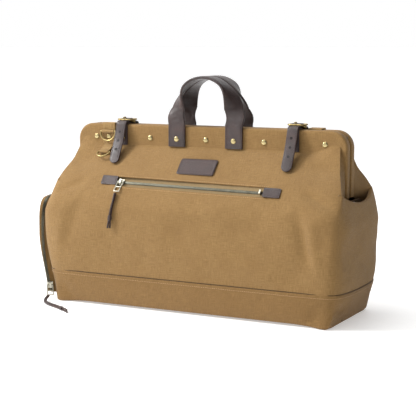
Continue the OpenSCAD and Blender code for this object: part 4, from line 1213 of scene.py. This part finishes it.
def thong(name, body, node, route, knot_at, closeness=1.55):
    """A doubled leather thong: two strands side by side, twisted a little, with a knot and two short tails."""
    path = flow(route, 70)
    t = along(path)
    side = unit(np.cross(t, np.array([0.2, 0.5, 0.8])))
    other = np.cross(t, side)
    run = lengths(path)
    total = run[-1]
    piece = Piece(name)
    knot = knot_at * total
    for s in (-1, 1):
        spread = closeness * np.ones(len(path))
        spread += 0.35 * smooth_array((run - knot - 5) / 8)
        a = run / total * 1.9 + 0.4
        offset = side * (np.cos(a) * spread * s)[:, None] + other * (np.sin(a) * spread * s)[:, None]
        piece.tube(path + offset, 1.6, cord_leather, 10)
    near = [i for i in range(len(path)) if abs(run[i] - knot) < 5.2]
    core = path[near]
    lump = 2.8 + 0.8 * np.sin(np.linspace(0, math.pi, len(near)))
    piece.tube(core, np.minimum(lump, 3.6), cord_leather, 14)
    for shift in (-2.0, 1.4):
        wrap = []
        i = int(np.argmin(abs(run - knot - shift)))
        for a in np.linspace(0, TAU * 1.05, 22):
            around = side[i] * math.cos(a) + other[i] * math.sin(a)
            wrap.append(path[i] + t[i] * (1.3 * math.sin(a / 2 + shift)) + 2.5 * around)
        piece.tube(wrap, 1.35, cord_leather, 8)
    piece.points = [(x, y, max(z, 0.2)) for x, y, z in piece.points]
    made = piece.make(body, "leather", [node])


front_route = [(-135.3, -90.4, 196.6), (-135.6, -93.3, 191.2), (-136, -96, 185), (-137, -98.4, 178), (-138,
        -100.2, 170),
               (-139, -101.4, 162), (-140, -101.9, 154), (-141, -102.2, 146), (-142, -102.4, 138)]
end_route = [(-270, -99, 8.5), (-269.5, -103, 7), (-268, -109, 5.4), (-264.5, -116, 4), (-259, -123, 3.2),
             (-251, -129.5, 3), (-242, -135, 3), (-232, -140, 3), (-222, -145, 3), (-212, -150.5, 3), (-202,
                     -156.5, 3),
             (-192, -163, 3), (-184, -169, 3)]
thong("front_zip_thong", "front_pull", "front_thong", front_route, 0.72)
thong("end_zip_thong", "end_pull", "end_thong", end_route, 0.78)


# ---------- hardware kept from the part ----------

def dress(node, finish, bevel=0.3):
    """A new finish and softened edges for a hard piece that keeps its shape."""
    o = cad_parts[node]
    o.data.materials.clear()
    o.data.materials.append(finish)
    if bevel:
        soft = o.modifiers.new("soft edge", "BEVEL")
        soft.width, soft.segments = bevel * MM, 2
        soft.limit_method, soft.angle_limit = "ANGLE", math.radians(35)


for node in ("left_buckle", "right_buckle"):
    dress(node, old_brass, 0.7)
for node in ("left_prong", "right_prong", "front_upper_ring", "front_lower_ring", "back_upper_ring",
        "back_lower_ring"):
    dress(node, old_brass, 0)
for node in ("front_zip_slider", "end_zip_slider", "front_zip_stop"):
    dress(node, zip_metal, 0.35)
for node in ("front_zip_pull", "end_zip_pull"):
    dress(node, zip_metal, 0)
for node in ("front_bar", "back_bar", "front_hinge_plates", "back_hinge_plates", "hinge_pins"):
    dress(node, zinc, 0.3)
for node in ("base_board", "end_boards"):
    dress(node, board_finish, 0.4)


# ---------- floor and lights ----------

def floor_finish():
    f = Finish("pale floor", Roughness=0.6, Specular_IOR_Level=0.2, Emission_Color=(1, 1, 1, 1),
            Emission_Strength=0.42)
    soft = f.mottle(f.place(), 3.0, 3.0)
    return f.finish(f.blend(soft, rgb(232, 232, 232), rgb(228, 228, 228)), 0.55 + soft * 0.1)


floor_mesh = bpy.data.meshes.new("floor")
side = 400.0
floor_mesh.from_pydata([(-side, -side, 0), (side, -side, 0), (side, side, 0), (-side, side, 0)], [], [(0, 1,
        2, 3)])
floor = bpy.data.objects.new("floor", floor_mesh)
bpy.context.scene.collection.objects.link(floor)
floor.location.z = -0.0005
floor_mesh.materials.append(floor_finish())

world = bpy.data.worlds.new("studio")
bpy.context.scene.world = world
world.use_nodes = True
sky = world.node_tree
bright, dim = sky.nodes["Background"], sky.nodes.new("ShaderNodeBackground")
mixed = sky.nodes.new("ShaderNodeMixShader")
split, share = sky.nodes.new("ShaderNodeSeparateXYZ"), sky.nodes.new("ShaderNodeMapRange")
for shade, strength in ((bright, 1.0), (dim, 0.12)):
    shade.inputs["Color"].default_value = (1, 1, 1, 1)
    shade.inputs["Strength"].default_value = strength
share.inputs["From Min"].default_value, share.inputs["From Max"].default_value = 0.0, 0.45
# the room is darker on the bag's right
sky.links.new(sky.nodes.new("ShaderNodeTexCoord").outputs["Generated"], split.inputs[0])
sky.links.new(split.outputs["X"], share.inputs["Value"])
sky.links.new(share.outputs["Result"], mixed.inputs[0])
sky.links.new(bright.outputs[0], mixed.inputs[1])
sky.links.new(dim.outputs[0], mixed.inputs[2])
sky.links.new(mixed.outputs[0], sky.nodes["World Output"].inputs["Surface"])


def softbox(name, place, power, size, target=(0, 0, 0.15)):
    data = bpy.data.lights.new(name, "AREA")
    data.shape, data.size, data.size_y, data.energy = "RECTANGLE", size, size, power
    lamp = bpy.data.objects.new(name, data)
    bpy.context.scene.collection.objects.link(lamp)
    lamp.location = place
    lamp.rotation_euler = (Vector(target) - Vector(place)).to_track_quat("-Z", "Y").to_euler()


softbox("key", (-2.1, -1.2, 1.9), 96, 0.8)
softbox("top", (-0.5, -0.3, 2.4), 18, 1.2)
